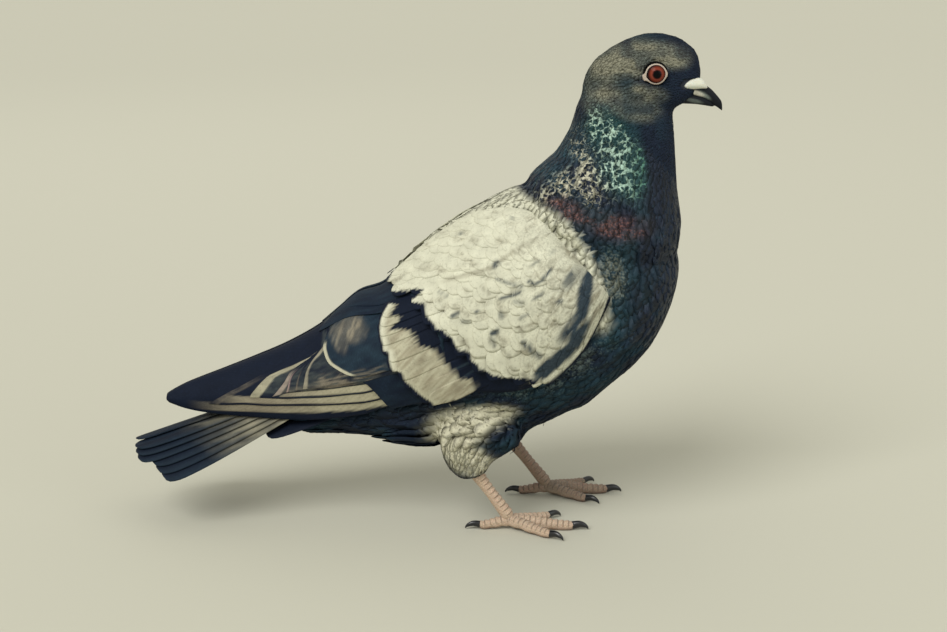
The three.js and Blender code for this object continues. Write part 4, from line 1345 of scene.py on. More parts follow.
# %% All the flight feathers of one wing
flight_sets = []
for k, (low, hook) in enumerate(
    zip((level(0.0), second_line, third_line, fourth_line, fourth_line, fourth_line, fourth_line), HOOKS)
):
    shift = max(0, k - 3) * 0.55
    lower = (lambda x, low=low, shift=shift: low(x) + shift)
    flight_sets.append(nested(k, lower, through(*hook[1:]), primary_colour))
secondary_end = through(
    (0, -67.5), (2, -70.2), (5, -72.2), (8, -74), (13, -77.2), (16.5, -80.2), (19, -83.5),
    (21.5, -87), (25, -91),
)
lobe_end = through(
    (20, -80), (21.2, -85.8), (22.4, -88.9), (24.6, -91.8), (27, -94.6), (30, -97.7), (33, -99.4),
    (36, -100.4), (40, -101.2), (45, -100.6), (52, -97.5), (60, -93),
)
flight_sets.append(nested(7, level(0.0), secondary_end, dark_colour, 40, 24))
flight_sets.append(nested(8, level(20.4), lobe_end, lobe_colour, 50, 34))
for number, low, ends in (
    (9, through((-104, 51), (-90, 55), (-60, 52)), ((47, -100), (51, -104), (56, -102), (66, -96))),
    (10, through((-93, 63), (-80, 60), (-60, 57)), ((60, -91), (64, -93), (70, -91), (80, -86))),
):
    flight_sets.append(nested(number, low, through(*ends), dark_colour, 24, 12))
print("folded flight feathers on one wing:", len(flight_sets))

# %% [markdown]
# ## Coverts and scapulars
# Over the roots of the flight feathers lie the greater coverts, over their roots the median coverts, and
# from there to the bend of the wing the lesser coverts in staggered rows, smaller towards the front. Long
# soft scapulars run back along the top. One smooth surface with a bump could stand for them, but separate
# blades give the scalloped edges their own shadows.

# %% Greater and median coverts


def tier(ups, end, length, rise, spread):
    """Roots and tips of a row of feathers with tips at end(up)."""
    ups = np.asarray(ups, float)
    tip = np.stack([end(ups) + jitter(len(ups), spread), ups], 1)
    angle = np.radians(rise) + jitter(len(ups), 0.02)
    return tip + length * np.stack([np.cos(angle), np.sin(angle)], 1), tip


greater_ups = np.array([1.5, 6, 10.5, 15, 19.5, 24, 28.5, 33.5, 38.5, 43.5, 48.5, 53.5])
greater_row = tier(greater_ups, lambda up: band_end(up) - 1.2, 38, np.linspace(16, 2, 12), 0.2)
median_ups = np.array([7, 10.5, 14, 18, 22, 26, 30, 34, 38.5, 43, 47.5, 52])
median_row = tier(median_ups, lambda up: shield_end(up) - 1.6, 24, np.linspace(10, 8, 12), 0.3)
print("greater and median coverts on one wing:", len(greater_ups), len(median_ups))

# %% Lesser coverts and scapulars, in staggered rows
ROW_STEP = 5.6
COLUMN_STEP = 5.4


def staggered():
    """Tips, lengths, widths and directions of the feathers that cover the shield, row by row from behind."""
    rows = []
    for number, x in enumerate(np.arange(-76, WING_FRONT + 5, ROW_STEP)):
        top = girth(min(x, WING_FRONT))
        for up in np.arange(1.5 + (number % 2) * COLUMN_STEP / 2, top + 2, COLUMN_STEP):
            tip = np.array([x, up]) + rng.normal(0, 1.5, 2)
            high = fade(up - scapular_edge(x), -3, 3)
            if tip[0] < shield_end(tip[1]) - 1.5 + 3 * (1 - high) * (up < 58) or (x < -12 and up < 11):
                continue
            front = fade(x, -2, 26)
            length = rng.uniform(15, 21) + 12 * high - 7 * front
            width = 10.5 + 2.4 * high - 3.4 * front
            angle = 0.2 - 0.95 * fade(x, -12, 16) * (1 - 0.7 * fade(up, 48, 72)) + rng.normal(0, 0.12)
            rows.append((*tip, length, width, angle))
    return np.array(rows)


lesser = staggered()
lesser_tip, lesser_angle = lesser[:, :2], lesser[:, 4]
lesser_root = lesser_tip + lesser[:, 2:3] * np.stack([np.cos(lesser_angle), np.sin(lesser_angle)], 1)
lesser_root[:, 0] = np.minimum(lesser_root[:, 0], WING_FRONT - 0.5)
lesser_tip[:, 0] = np.minimum(lesser_tip[:, 0], lesser_root[:, 0] - 2)
lesser_root[:, 1] = np.clip(lesser_root[:, 1], 0.5, girth(lesser_root[:, 0]) - 0.5)
lesser_tip[:, 1] = np.clip(lesser_tip[:, 1], 0.5, girth(lesser_tip[:, 0]) - 0.5)
print("small coverts on one wing:", len(lesser_tip))

# %% Both wings, with a closed arm under the small feathers, or light would shine between them
CORE_BACK = -68.0  # how far back the arm reaches
core_lift = through((CORE_BACK, -5.6), (-45, -4.6), (-20, -3.0), (WING_FRONT, -1.4))


def wing_arm():
    """The feathered arm under the rows: a closed sheet from the bend of the wing to the greater coverts."""
    along, across = 60, 50
    u, v = np.meshgrid(np.linspace(0, 1, along + 1), np.linspace(0, 1, across + 1), indexing="ij")
    x = WING_FRONT - 0.5 + (CORE_BACK - WING_FRONT) * u
    angle = LOW_EDGE - 0.03 + (top_edge(x) - LOW_EDGE + 0.06) * v
    outer = wing_surface(x, angle, core_lift(x))
    inner = wing_surface(x, angle, core_lift(x) - 4 - 3 * np.sin(math.pi * u))
    points = np.concatenate([outer.reshape(1, -1, 3), inner.reshape(1, -1, 3)], 1)
    tint = shield_colour(0.5 + 0 * u, 0 * u, x, v * girth(x), 0 * u).reshape(1, -1, 4)
    vane = np.stack([v, u], -1).reshape(1, -1, 2)
    return points, np.concatenate([tint, tint], 1), np.concatenate([vane, vane], 1), (along, across)


right_wing = flight_sets + [
    blades(*greater_row, 10.5, lift_ramp(-4.6, -0.3), 0.05, covert_bar_colour, 22, 12, blunt_outline, 0.06),
    blades(*median_row, 9.5, lift_ramp(-3.0, 0.2), 0.05, shield_colour, 16, 10, blunt_outline, 0.08),
    blades(
        lesser_root, lesser_tip, lesser[:, 3], lift_ramp(-0.7, 0.3), 0.02, shield_colour, 10, 8, crown=0.06
    ),
    wing_arm(),
]
for side, mirrored in (("right", False), ("left", True)):
    points, quads, tints, vane, bake, top = gather(right_wing, mirrored)
    wing = mesh_from(f"wing_feathers_{side}", points, quads, tints, vane, bake, top)
    wing.data.materials.append(flight)
    on_bird(wing, "wing_plumage", f"wing_{side}")

# %% [markdown]
# ## The tail
# Twelve tail feathers lie in two stacks, one each side, the middle pair on top. The stack is arched across
# like a low roof. Small coverts hide their roots above and below. The feathers are dark slate, with a
# lighter grey patch on the outer webs towards the root. A closed tail could be one ridged board, but
# separate blades keep the stepped tips.

# %% The tail's surface and colour
TAIL_ROOT = np.array([-84.0, 0.0, 77.0])
TAIL_SLOPE = math.radians(19.5)
TAIL_BACK = np.array([-math.cos(TAIL_SLOPE), 0, -math.sin(TAIL_SLOPE)])
TAIL_UP = np.array([-math.sin(TAIL_SLOPE), 0, math.cos(TAIL_SLOPE)])
TAIL_ARCH = 0.0145
TAIL_LENGTH = 119.0
TAIL_LAYER = 1.3
TAIL_DARK = ink("#131a28")
TAIL_GREY = ink("#a39e88")
tail_outline = through((0, 0.4), (0.3, 0.8), (0.6, 1), (0.85, 0.98), (0.94, 0.82), (0.98, 0.55), (1, 0.15))


def tail_point(along, across, lift):
    """A point of the tail by distance along it, across it and above its middle surface."""
    height = lift - TAIL_ARCH * across**2
    side = np.stack([0 * across, across, 0 * across], -1)
    return TAIL_ROOT + along[..., None] * TAIL_BACK + side + height[..., None] * TAIL_UP


def tail_colour(along, across, u, v):
    """Dark slate, a grey patch near the root, and a thin paler outer edge."""
    reach = np.abs(across)
    grey = fade(along + 0.8 * reach, 104, 58) * fade(reach, 1, 5)
    base = mix(TAIL_DARK, SLATE_SHADE, 0.2 + 0.2 * np.sin(9 * v))
    streak = 0.35 + 0.75 * fade(cloud(along * 0.18, across * 1.2, 1.2), 0.2, 0.8)
    base = mix(base, TAIL_GREY, np.clip(grey * streak, 0, 0.95))
    return mix(base, SLATE_SHADE, 0.4 * fade(np.abs(v), 0.8, 0.95) * fade(u, 0.2, 0.4))


print("tail slope, degrees:", round(math.degrees(TAIL_SLOPE), 1))

# %% One tail feather, and its mirror image
TAIL_THICK = 0.36


def tail_blade(side, start, end, shaft, width, lift, reach_over=-0.4, along=18, across=8):
    """One tail feather; shaft gives its distance off the middle at root and tip, reach_over how far it
    may reach over the middle."""
    u, v = np.meshgrid(
        1 - (1 - np.linspace(0, 1, along + 1)) ** 1.7, np.linspace(-1, 1, across + 1), indexing="ij"
    )
    middle = shaft[0] + (shaft[1] - shaft[0]) * u
    off = middle + v * width / 2 * tail_outline(u)
    off = np.maximum(off, -reach_over)
    place = start + (end - start) * u
    crown = 0.15 * (1 - v**2)
    faces_side = side * off
    outer = tail_point(place, faces_side, lift(u) + crown + TAIL_THICK / 2)
    inner = tail_point(place, faces_side, lift(u) + crown - TAIL_THICK / 2)
    points = np.concatenate([outer.reshape(1, -1, 3), inner.reshape(1, -1, 3)], 1)
    tint = tail_colour(place, faces_side, u, v).reshape(1, -1, 3)
    vane = np.stack([(v + 1) / 2, u], -1).reshape(1, -1, 2)
    tint = np.concatenate([tint, tint * UNDERSIDE], 1)
    return points, tint, np.concatenate([vane, vane], 1), (along, across)


def mirrored_set(made):
    """The same blade on the other side, its rows turned round so that its faces still point outwards."""
    points, tints, vane, (along, across) = made
    order = np.arange((along + 1) * (across + 1)).reshape(along + 1, across + 1)[:, ::-1].ravel()
    order = np.concatenate([order, order + len(order)])
    return points[:, order] * [1, -1, 1], tints[:, order], vane[:, order], (along, across)


# %% Twelve tail feathers and their coverts
tail_sets = []
for pair in range(6):
    for side in (1, -1):
        on_top = pair == 0 and side > 0
        layer = 0 if on_top else pair + 1
        made = tail_blade(
            -1,
            30,
            TAIL_LENGTH - 0.25 * pair**2 - 5.5 * (pair > 2) - 0.6 * (side < 0),
            (1.5 + 1.4 * pair, 4 + 3.4 * pair),
            17,
            lambda u, layer=layer: -0.7 - TAIL_LAYER * layer + 0 * u,
            4 if on_top else -0.4,
        )
        tail_sets.append(mirrored_set(made) if side > 0 else made)
for number, off in enumerate((0.5, 4.5, 8.5, 2.5, 7.0, 0.5, 4.0)):
    start, end = 14 + 4 * (number % 2), 66 - 5.5 * number
    for side in (1, -1):
        made = tail_blade(
            -1,
            start,
            end,
            (off * 0.6, off + 1),
            10,
            lambda u, n=number: -2.6 + (3.2 + 0.35 * n) * u,
            3 if number in (0, 5) and side > 0 else -0.3,
            10,
            4,
        )
        tail_sets.append(mirrored_set(made) if side > 0 else made)
for number, off in enumerate((14, 11, 7.5, 4, 1)):
    for side in (1, -1):
        made = tail_blade(
            -1, 2, 54 - 3 * number, (off * 0.7, off + 0.6), 11,
            lambda u, n=number: -15.6 - 0.4 * n + 3.4 * u, -0.3, 12, 4,
        )
        made = made[0], 0 * made[1] + mix(TAIL_DARK, SLATE_SHADE, 0.2 * number), *made[2:]
        tail_sets.append(mirrored_set(made) if side > 0 else made)
points, quads, tints, vane, bake, top = gather(tail_sets)
tail = mesh_from("tail_feathers", points, quads, tints, vane, bake, top)
tail.data.materials.append(flight)
on_bird(tail, "tail_plumage", "tail")

# %% [markdown]
# ## The bare parts
# Bill, ceres, eyes, feet and claws have no feathers, so they are shaped on their own. They could be lofted
# ring by ring, but then both ends have to be closed by hand. Instead each starts as bmesh's UV sphere. Its
# height from pole to pole becomes the way along a line of stations, and its turn round the axis the turn
# round that line, so one closed sphere, its poles as rounded ends, is warped into a bill, a toe or a claw.

# %% A sphere warped along a line of stations


def station_curve(rows):
    """A smooth curve through rows of numbers, as a function of the share of their number."""
    rows = np.asarray(rows, float)
    at = np.linspace(0, 1, len(rows))
    columns = [through(*zip(at, column)) for column in rows.T]
    return lambda t: np.stack([column(t) for column in columns], -1)


def sphere_warp(name, place, segments=32, rings=24):
    """A UV sphere whose points go to place(t, turn): t from 0 to 1 along, turn round; place gives
    layout mm and tints."""
    bm = bmesh.new()
    bmesh.ops.create_uvsphere(bm, u_segments=segments, v_segments=rings, radius=1)
    points = np.array([v.co for v in bm.verts])
    t = np.clip(1 - np.arccos(np.clip(points[:, 2], -1, 1)) / math.pi, 0, 1)
    turn = np.arctan2(points[:, 1], points[:, 0])
    placed, tints = place(t, turn)
    placed = metres(placed)
    for vertex, co in zip(bm.verts, placed):
        vertex.co = co
    bmesh.ops.recalc_face_normals(bm, faces=bm.faces)
    for face in bm.faces:
        face.smooth = True
    mesh = bpy.data.meshes.new(name)
    bm.to_mesh(mesh)
    bm.free()
    give_colour(mesh, "tint", tints)
    return in_scene(name, mesh)


def rounded(t, start, end):
    """The size of a form along its length: it closes over a share of it at each end, like a ball."""
    first = np.sqrt(np.clip(1 - (1 - np.clip(t / start, 0, 1)) ** 2, 0, 1))
    last = np.sqrt(np.clip(1 - (1 - np.clip((1 - t) / end, 0, 1)) ** 2, 0, 1))
    return first * last


def upright(stations, y=0.0, start=0.04, end=0.15, square=2.2):
    """A form along stations [x, z, half width, reach above, reach below] in an upright plane; square is
    2 for round sections and more for boxier ones."""
    curve = station_curve(stations)

    def place(t, turn):
        middle = curve(t)
        ahead = curve(np.clip(t + 0.01, 0, 1)) - curve(np.clip(t - 0.01, 0, 1))
        length = np.hypot(ahead[:, 0], ahead[:, 1])
        way = ahead[:, :2] / length[:, None]
        size = rounded(t, start, end)
        bend = np.abs(np.cos(turn)) ** (2 / square) * np.sign(np.cos(turn))
        side = np.abs(np.sin(turn)) ** (2 / square) * np.sign(np.sin(turn))
        reach = np.where(bend > 0, middle[:, 3], middle[:, 4])
        x = middle[:, 0] - way[:, 1] * bend * reach * size
        z = middle[:, 1] + way[:, 0] * bend * reach * size
        return np.stack([x, y + side * middle[:, 2] * size, z], 1)

    return place


print("points of a sphere of 32 by 24:", 32 * (24 - 1) + 2)

# %% [markdown]
# ## The bill and cere
# The upper bill hooks over the lower one at the tip, with a fine dark line of a mouth between them. At its
# base sit the ceres, two chalky white lobes of bare skin over the nostrils. The horn is near black, with a
# painted highlight as a paler streak on the side of the upper bill and another as a pale base to the lower
# one. A bill could be carved from a block, but its section changes evenly from end to end, which a few
# stations along its curve say best.

# %% Their stations and colours
UPPER_BILL = [
    (61, 209.5, 4.8, 4, 3.4), (65, 209.0, 4.6, 4.15, 3.4), (69, 208.6, 4.3, 4, 3.4),
    (72.5, 207.9, 3.95, 3.8, 3.3), (75.5, 207, 3.6, 3.2, 3.2), (78.2, 205.8, 3.1, 2.75, 3.0),
    (80.4, 204.2, 2.6, 2.3, 2.8),
    (82.5, 202.4, 2.0, 1.9, 2.4), (83.9, 200.9, 1.5, 1.5, 2), (85.4, 197.8, 0.6, 0.7, 0.6),
]
LOWER_BILL = [
    (61, 203.9, 4.4, 2.6, 2.8), (65.5, 203.8, 4.1, 2.7, 2.7), (69.5, 203.6, 3.8, 2.7, 2.6),
    (73, 203.1, 3.4, 2.6, 2.3), (76, 202.3, 2.9, 2.3, 1.9), (79.6, 200.9, 1.8, 1.6, 1.1),
    (81.6, 199.9, 0.8, 0.7, 0.6),
]
CERE = [
    (65.2, 209.6, 2.4, 1.0, 1.0), (68, 210.1, 3.3, 2.2, 1.9), (71, 210.6, 3.3, 2.8, 2.4),
    (74, 210.4, 3.0, 2.8, 2.2), (76.4, 209.4, 2.2, 1.6, 1.2), (77.8, 208.6, 1.6, 0.7, 0.7),
]
HORN = ink("#0f131b")
# painted highlight colour for the bill
HORN_HIGHLIGHT = ink("#8f9a92")
CHALK = ink("#e6e3d4")


def upper_tint(points):
    """Black horn, with a painted highlight as a paler streak, and a white wedge on its side below the cere.
    """
    x, y, z = points.T
    # painted highlight: a pale streak along the side of the upper bill
    streak = blob(x, z, (76.6, 205.2), (4.4, 1.3), -34) * fade(np.abs(y), 1.6, 2.6)
    white_wedge = blob(x, z, (73, 206.2), (4.6, 1.5), -20) * fade(np.abs(y), 1.6, 2.8)
    return mix(mix(HORN, HORN_HIGHLIGHT, 0.6 * streak), CHALK * 0.85, white_wedge)


def lower_tint(points):
    """Black horn, paler at its base as a painted highlight."""
    x, y, z = points.T
    # painted highlight: a paler patch at the base of the lower bill
    base = blob(x, z, (72, 202.6), (5, 1.2), -14) * fade(np.abs(y), 1.6, 2.8)
    return mix(HORN, HORN_HIGHLIGHT, 0.35 * base)


def cere_tint(points):
    """Chalk, darker along the lower edge as painted shade."""
    x, y, z = points.T
    # painted shade: the underside of the cere lobe is darkened
    return mix(CHALK, CHALK * 0.72, 0.6 * fade(z, 208.6, 207.4))


print("stations of upper bill, lower bill and cere:", len(UPPER_BILL), len(LOWER_BILL), len(CERE))

# %% A finish for bare parts
GRAIN_BUMP = 0.6


def bare_material(name, scale, depth, relief, **sockets):
    """A finish for bare parts: the vertex tint, mottled, with a fine raised grain."""
    material, shader = new_material(name, **sockets)
    tint = add(material, "ShaderNodeAttribute", attribute_name="tint").outputs["Color"]
    place = add(material, "ShaderNodeTexCoord").outputs["Object"]
    mottle = noise(material, place, scale * 0.3)[0]
    mottle.node.inputs["Detail"].default_value = 4
    cells = add(material, "ShaderNodeTexVoronoi", [place], feature="DISTANCE_TO_EDGE")
    cells.inputs["Scale"].default_value = scale
    seam = maths(material, "MINIMUM", maths(material, "MULTIPLY", cells.outputs["Distance"], 6), 1)
    shade = maths(material, "MULTIPLY_ADD", mottle, depth, 1 - depth / 2)
    seam_shade = maths(material, "MULTIPLY_ADD", seam, depth * 0.7, 1 - depth * 0.7)
    paint(material, shader, tint, maths(material, "MULTIPLY", shade, seam_shade))
    emboss(material, shader, maths(material, "ADD", seam, mottle), relief, GRAIN_BUMP)
    return material


horn = bare_material("bill horn", 900, 0.3, 0.05, Roughness=0.55, Specular_IOR_Level=0.2)
chalky = bare_material("chalky cere", 1500, 0.22, 0.14, Roughness=0.8, Subsurface_Weight=0.1)

# %% Bill and ceres


def bare_piece(name, shape, tint, material, slot, *nodes, **mesh):
    """One bare part from a placing function and a tinting function."""

    def place(t, turn):
        points = shape(t, turn)
        return points, tint(points)

    piece = sphere_warp(name, place, **mesh)
    piece.data.materials.append(material)
    return on_bird(piece, slot, *nodes)


bare_piece(
    "upper_bill", upright(UPPER_BILL), upper_tint, horn, "bill_horn", "bill_upper", segments=40, rings=48
)
bare_piece(
    "lower_bill", upright(LOWER_BILL), lower_tint, horn, "bill_horn", "bill_lower", segments=32, rings=40
)
wide_behind = through((64, 2.5), (67, 1.8), (70, 0.8), (73, 0.1), (78, 0))
for side, sign in (("right", -1), ("left", 1)):
    lobe = upright(CERE, y=sign * 3.1, start=0.4, end=0.35, square=2.0)

    def shape(t, turn, lobe=lobe, sign=sign):
        points = lobe(t, turn)
        points[:, 1] += sign * wide_behind(points[:, 0])
        return points

    bare_piece(
        f"cere_lobe_{side}", shape, cere_tint, chalky, "cere_skin", f"cere_{side}", segments=32, rings=32
    )

# %% [markdown]
# ## The eyes
# A pigeon's eye is a wet ball with a black pupil and an orange-red iris that darkens to its rim. A painted
# disc could stand for it, but a whole ball takes the light as a real one does, though the lids hide most
# of it. The rings are coloured by the distance from the eye's own axis; fine streaks come from noise read
# on the direction alone, so that they run straight out from the pupil.

# %% The wet eye
RING_REACH = 4.7  # where the outermost ring ends
RING_SHIFT = 0.35  # how far before the ball's middle the rings are centred

eye_material, eye_shader = new_material(
    "wet eye", Roughness=0.3, Specular_IOR_Level=0.05, Coat_Weight=0.2, Coat_Roughness=0.03, Coat_IOR=1.3
)
eye_space = add(eye_material, "ShaderNodeTexCoord").outputs["Object"]
eye_middle = metres(EYE)
ring_middle = (-(eye_middle[0] + RING_SHIFT * MM), 0, -eye_middle[2])
eye_map = add(eye_material, "ShaderNodeMapping", [eye_space, ring_middle])
eye_part = add(eye_material, "ShaderNodeSeparateXYZ", [eye_map.outputs[0]])
eye_flat = add(eye_material, "ShaderNodeCombineXYZ", [eye_part.outputs[0], None, eye_part.outputs[2]])
eye_length = add(eye_material, "ShaderNodeVectorMath", [eye_flat.outputs[0]], operation="LENGTH")
eye_reach = eye_length.outputs["Value"]
eye_way = add(eye_material, "ShaderNodeVectorMath", [eye_flat.outputs[0]], operation="NORMALIZE").outputs[0]
eye_streak = noise(eye_material, eye_way, 9)[0]
eye_ragged = maths(eye_material, "MULTIPLY_ADD", eye_streak, 0.5 * MM, -0.25 * MM)
eye_ring = maths(eye_material, "DIVIDE", maths(eye_material, "ADD", eye_reach, eye_ragged), RING_REACH * MM)
ramp = add(eye_material, "ShaderNodeValToRGB", [eye_ring])
RINGS = [
    (0, "#030305"), (0.35, "#040406"), (0.42, "#3f1714"), (0.52, "#7c3a2d"), (0.66, "#70301f"),
    (0.8, "#3f1814"), (0.9, "#150c0e"), (1, "#0a0a0c"),
]
stops = ramp.color_ramp.elements
while len(stops) < len(RINGS):
    stops.new(0.5)
for stop, (at, colour) in zip(stops, RINGS):
    stop.position = at
    stop.color = (*ink(colour), 1)
eye_light = maths(eye_material, "MULTIPLY_ADD", eye_streak, 0.7, 0.65)
paint(eye_material, eye_shader, ramp.outputs[0], eye_light)

# %% Eyeballs
EYE_RADIUS = 6.2
IRIS = 4.4
CORNEA = 0.35  # how far the clear front bulges

for side, sign in (("right", -1), ("left", 1)):

    def eyeball(t, turn, sign=sign):
        """A ball whose axis points outwards, with a bulge in front of the iris."""
        out = np.cos(math.pi * t)
        wide = np.sin(math.pi * t)
        bulge = CORNEA * fade(wide * EYE_RADIUS, IRIS + 0.6, 1.0) * (out > 0)
        radius = EYE_RADIUS + bulge
        ball = np.stack([wide * np.cos(turn), sign * out, wide * np.sin(turn)], 1)
        return ball * radius[:, None] + EYE * [1, sign, 1]

    bare_piece(
        f"eyeball_{side}", eyeball, lambda points: np.ones((len(points), 3)), eye_material,
        "eye", f"eye_{side}", segments=48, rings=40,
    )

# %% [markdown]
# ## The lids
# Round the eye runs a thin ring of pale bare skin, drawn out to a point behind. It could be cut from the
# head's skin, but it stands up from it as a soft rim. A circle is spun round the eye's axis as a ring, and
# each of its points is then moved to follow the side of the head, with small wrinkles all round.

# %% Eyelids
LID_REACH = 4.6  # from the eye's axis to the middle of the ring
LID_HALF = 0.36  # half its thickness
LID_OUT = 4.75  # from the ball's middle out to the ring
LID = ink("#c9b8a8")


def lid_ring(side, sign):
    """A ring of skin round one eye, closed, with a point behind."""
    bm = bmesh.new()
    bmesh.ops.create_circle(bm, segments=12, radius=1)
    for vertex in bm.verts:
        vertex.co = Vector((4 + vertex.co.x, 0, vertex.co.y))
    bmesh.ops.spin(
        bm, geom=bm.verts[:] + bm.edges[:], cent=(0, 0, 0), axis=(0, 0, 1), angle=2 * math.pi,
        steps=96, use_merge=True,
    )
    bmesh.ops.remove_doubles(bm, verts=bm.verts, dist=1e-4)
    bmesh.ops.recalc_face_normals(bm, faces=bm.faces)
    for vertex in bm.verts:
        turn = math.atan2(vertex.co.y, vertex.co.x)
        ring = math.hypot(vertex.co.x, vertex.co.y) - 4
        high = vertex.co.z
        behind = math.exp(-(((turn - math.radians(-162) + math.pi) % (2 * math.pi) - math.pi) / 0.24) ** 2)
        before = math.exp(-((turn / 0.3) ** 2))
        half = LID_HALF * (1 + 0.12 * math.sin(26 * turn) + 0.35 * behind)
        reach = LID_REACH + ring * half + behind * (1.9 + 1.5 * ring) + before * (0.3 + 0.2 * ring)
        out = LID_OUT + high * half * 0.75 - 0.35 * (reach - LID_REACH)
        x, z = reach * math.cos(turn), reach * math.sin(turn) * 0.97
        y = out - 0.012 * x * x - 0.008 * z * z * 2
        vertex.co = Vector(metres([EYE[0] + x, sign * (EYE[1] + y), EYE[2] + z]))
    bmesh.ops.recalc_face_normals(bm, faces=bm.faces)
    for face in bm.faces:
        face.smooth = True
    mesh = bpy.data.meshes.new(f"lid_{side}")
    bm.to_mesh(mesh)
    bm.free()
    points, _, _ = mesh_arrays(mesh)
    away = np.hypot(points[:, 0] - EYE[0], points[:, 2] - EYE[2])
    # painted shade: the lid ring darkens on its inner edge, where it turns in towards the eye
    give_colour(mesh, "tint", mix(LID, LID * 0.55, fade(away, 4.5, 4.0)))
    piece = in_scene(f"lid_{side}", mesh)
    piece.data.materials.append(lid_skin)
    return on_bird(piece, "eyelid_skin", f"eyelid_{side}")


lid_skin = bare_material("bare lid skin", 1800, 0.3, 0.12, Roughness=0.6, Subsurface_Weight=0.1)
for side, sign in (("right", -1), ("left", 1)):
    lid_ring(side, sign)

# %% [markdown]
# ## The feet
# A pigeon has three toes forward and one back. The shank's front and the tops of the toes carry a row of
# broad overlapping plates, the rest is fine grained skin, and there are soft pads under the joints. The
# plates could be pieces of their own, but steps in the radius keep each toe one closed form: they rise
# slowly and drop at once, like roof tiles seen from the side. The sole is flat on the floor.

# %% Toes and shanks along a curve
FOOT_SPREAD = 24.0
LEGS = {"right": (-1, -13.0, 20.0), "left": (1, 7.0, 22.0)}  # side, place along x, heel's distance behind
TOES = {  # turn outwards in degrees, length, thickness, plates
    "inner": (-32, 23, 2.3, 9),
    "middle": (4, 31, 2.6, 12),
    "outer": (36, 24, 2.3, 10),
    "hind": (176, 15, 2.2, 6),
}
FOOT = ink("#cdb8a0")
# painted shadow colour, used where the foot meets the floor
FOOT_FLOOR_SHADOW = ink("#5d4238")
FOOT_RED = ink("#b08a78")
CLAW = ink("#0e1016")
# painted shade: the whole far foot is tinted darker, for the shadow it stands in
FAR_FOOT_PAINTED_SHADE = 0.5  # the far foot is duskier
SHANK_LINE = [(-1.0, 33), (-0.5, 19), (0, 5)]  # share of the heel's distance, height


def along_line(points, radius, plates=0, rise=0.42, pads=0, squash=1.0):
    """A form round a curve through points; radius(t); plates on its upper side, pads under it."""
    curve = station_curve(points)
    fine = curve(np.linspace(0, 1, 200))
    run = np.concatenate([[0], np.cumsum(np.linalg.norm(np.diff(fine, axis=0), axis=1))])
    share = np.interp(np.linspace(0, 1, 200) * run[-1], run, np.linspace(0, 1, 200))

    def place(t, turn):
        s = np.interp(t, np.linspace(0, 1, 200), share)
        middle = curve(s)
        ahead = curve(np.clip(s + 0.01, 0, 1)) - curve(np.clip(s - 0.01, 0, 1))
        ahead /= np.linalg.norm(ahead, axis=1)[:, None]
        up = np.array([0.35, 0, 1.0]) if abs(ahead[:, 2].mean()) < 0.6 else np.array([1.0, 0, 0.2])
        side = np.cross(up, ahead)
        side /= np.linalg.norm(side, axis=1)[:, None]
        top = np.cross(ahead, side)
        size = radius(t) * rounded(t, 0.05, 0.07)
        high = np.cos(turn)
        on_top = fade(high, -0.1, 0.45)
        step = (t * plates) % 1.0
        tile = rise * on_top * (fade(step, 0, 0.75) * (1 - fade(step, 0.86, 1.0)))
        swell = 0.5 - 0.5 * np.cos(2 * math.pi * pads * t)
        pad = 0.16 * radius(t) * fade(high, 0, -0.7) * swell
        reach = size + (tile + pad) * rounded(t, 0.05, 0.07)
        return middle + side * (np.sin(turn) * reach * squash)[:, None] + top * (high * reach)[:, None]

    return place


print("plates on the toes:", [plates for _, _, _, plates in TOES.values()])

# %% Where each toe lies, and its colour


def foot_frame(leg):
    """A function from a foot's own place (ahead, outwards, up) to the bird's layout."""
    side, x, _ = LEGS[leg]
    return lambda ahead, out, up: (x + ahead, side * (FOOT_SPREAD + out), up)


def foot_tint(points, light):
    """Pale skin with a redder grain, with a painted shadow where it meets the floor; light is less than 1 on
    the far foot, a painted shade.
    """
    x, y, z = points.T
    grain = 0.5 + 0.5 * np.sin(3.1 * x + 1.3 * y) * np.sin(2.3 * y + 4.1 * z)
    colour = mix(FOOT, FOOT_RED, 0.55 * grain)
    # painted shadow: the skin darkens where it meets the floor
    colour = mix(colour, FOOT_FLOOR_SHADOW, 0.65 * fade(z, 2.4, 0.5))
    return colour * light


def toe_parts(leg, toe):
    """The lines of a toe and of its claw."""
    turn, length, thick, plates = TOES[toe]
    spot = foot_frame(leg)
    c, s = math.cos(math.radians(turn)), math.sin(math.radians(turn))
    toe_line = [(-1, 4.4), (0.35 * length, 3.4), (0.7 * length, 2.3), (length, 2)]
    claw_line = [(length - 1.5, 2.2), (length + 2.5, 2.9), (length + 5.5, 1.9), (length + 6.6, 0.5)]
    to_layout = lambda line: [spot(d * c, d * s, z) for d, z in line]
    return to_layout(toe_line), to_layout(claw_line), thick, plates


def grounded(shape):
    """The same form with everything below the floor pressed flat on it."""

    def place(t, turn):
        points = shape(t, turn)
        points[:, 2] = np.maximum(points[:, 2], 0)
        return points

    return place


def scaled(shape, tint, plates):
    """A form with its colours, darker in the joints between the plates on top."""

    def place(t, turn):
        points = shape(t, turn)
        joint = fade((t * plates) % 1, 0.72, 0.9) * fade(np.cos(turn), -0.3, 0.3)
        return points, tint(points) * (1 - 0.5 * joint)[:, None]

    return place


# %% Feet and claws


def joined(name, pieces):
    """One object of several, in one mesh."""
    bm = bmesh.new()
    for piece in pieces:
        bm.from_mesh(piece.data)
        bpy.data.objects.remove(piece)
    mesh = bpy.data.meshes.new(name)
    bm.to_mesh(mesh)
    bm.free()
    return in_scene(name, mesh)


foot_skin = bare_material("scaled foot skin", 1100, 0.34, 0.2, Roughness=0.6, Subsurface_Weight=0.05)
claw_horn = bare_material("claw horn", 700, 0.25, 0.04, Roughness=0.3, Coat_Weight=0.3, Coat_Roughness=0.25)

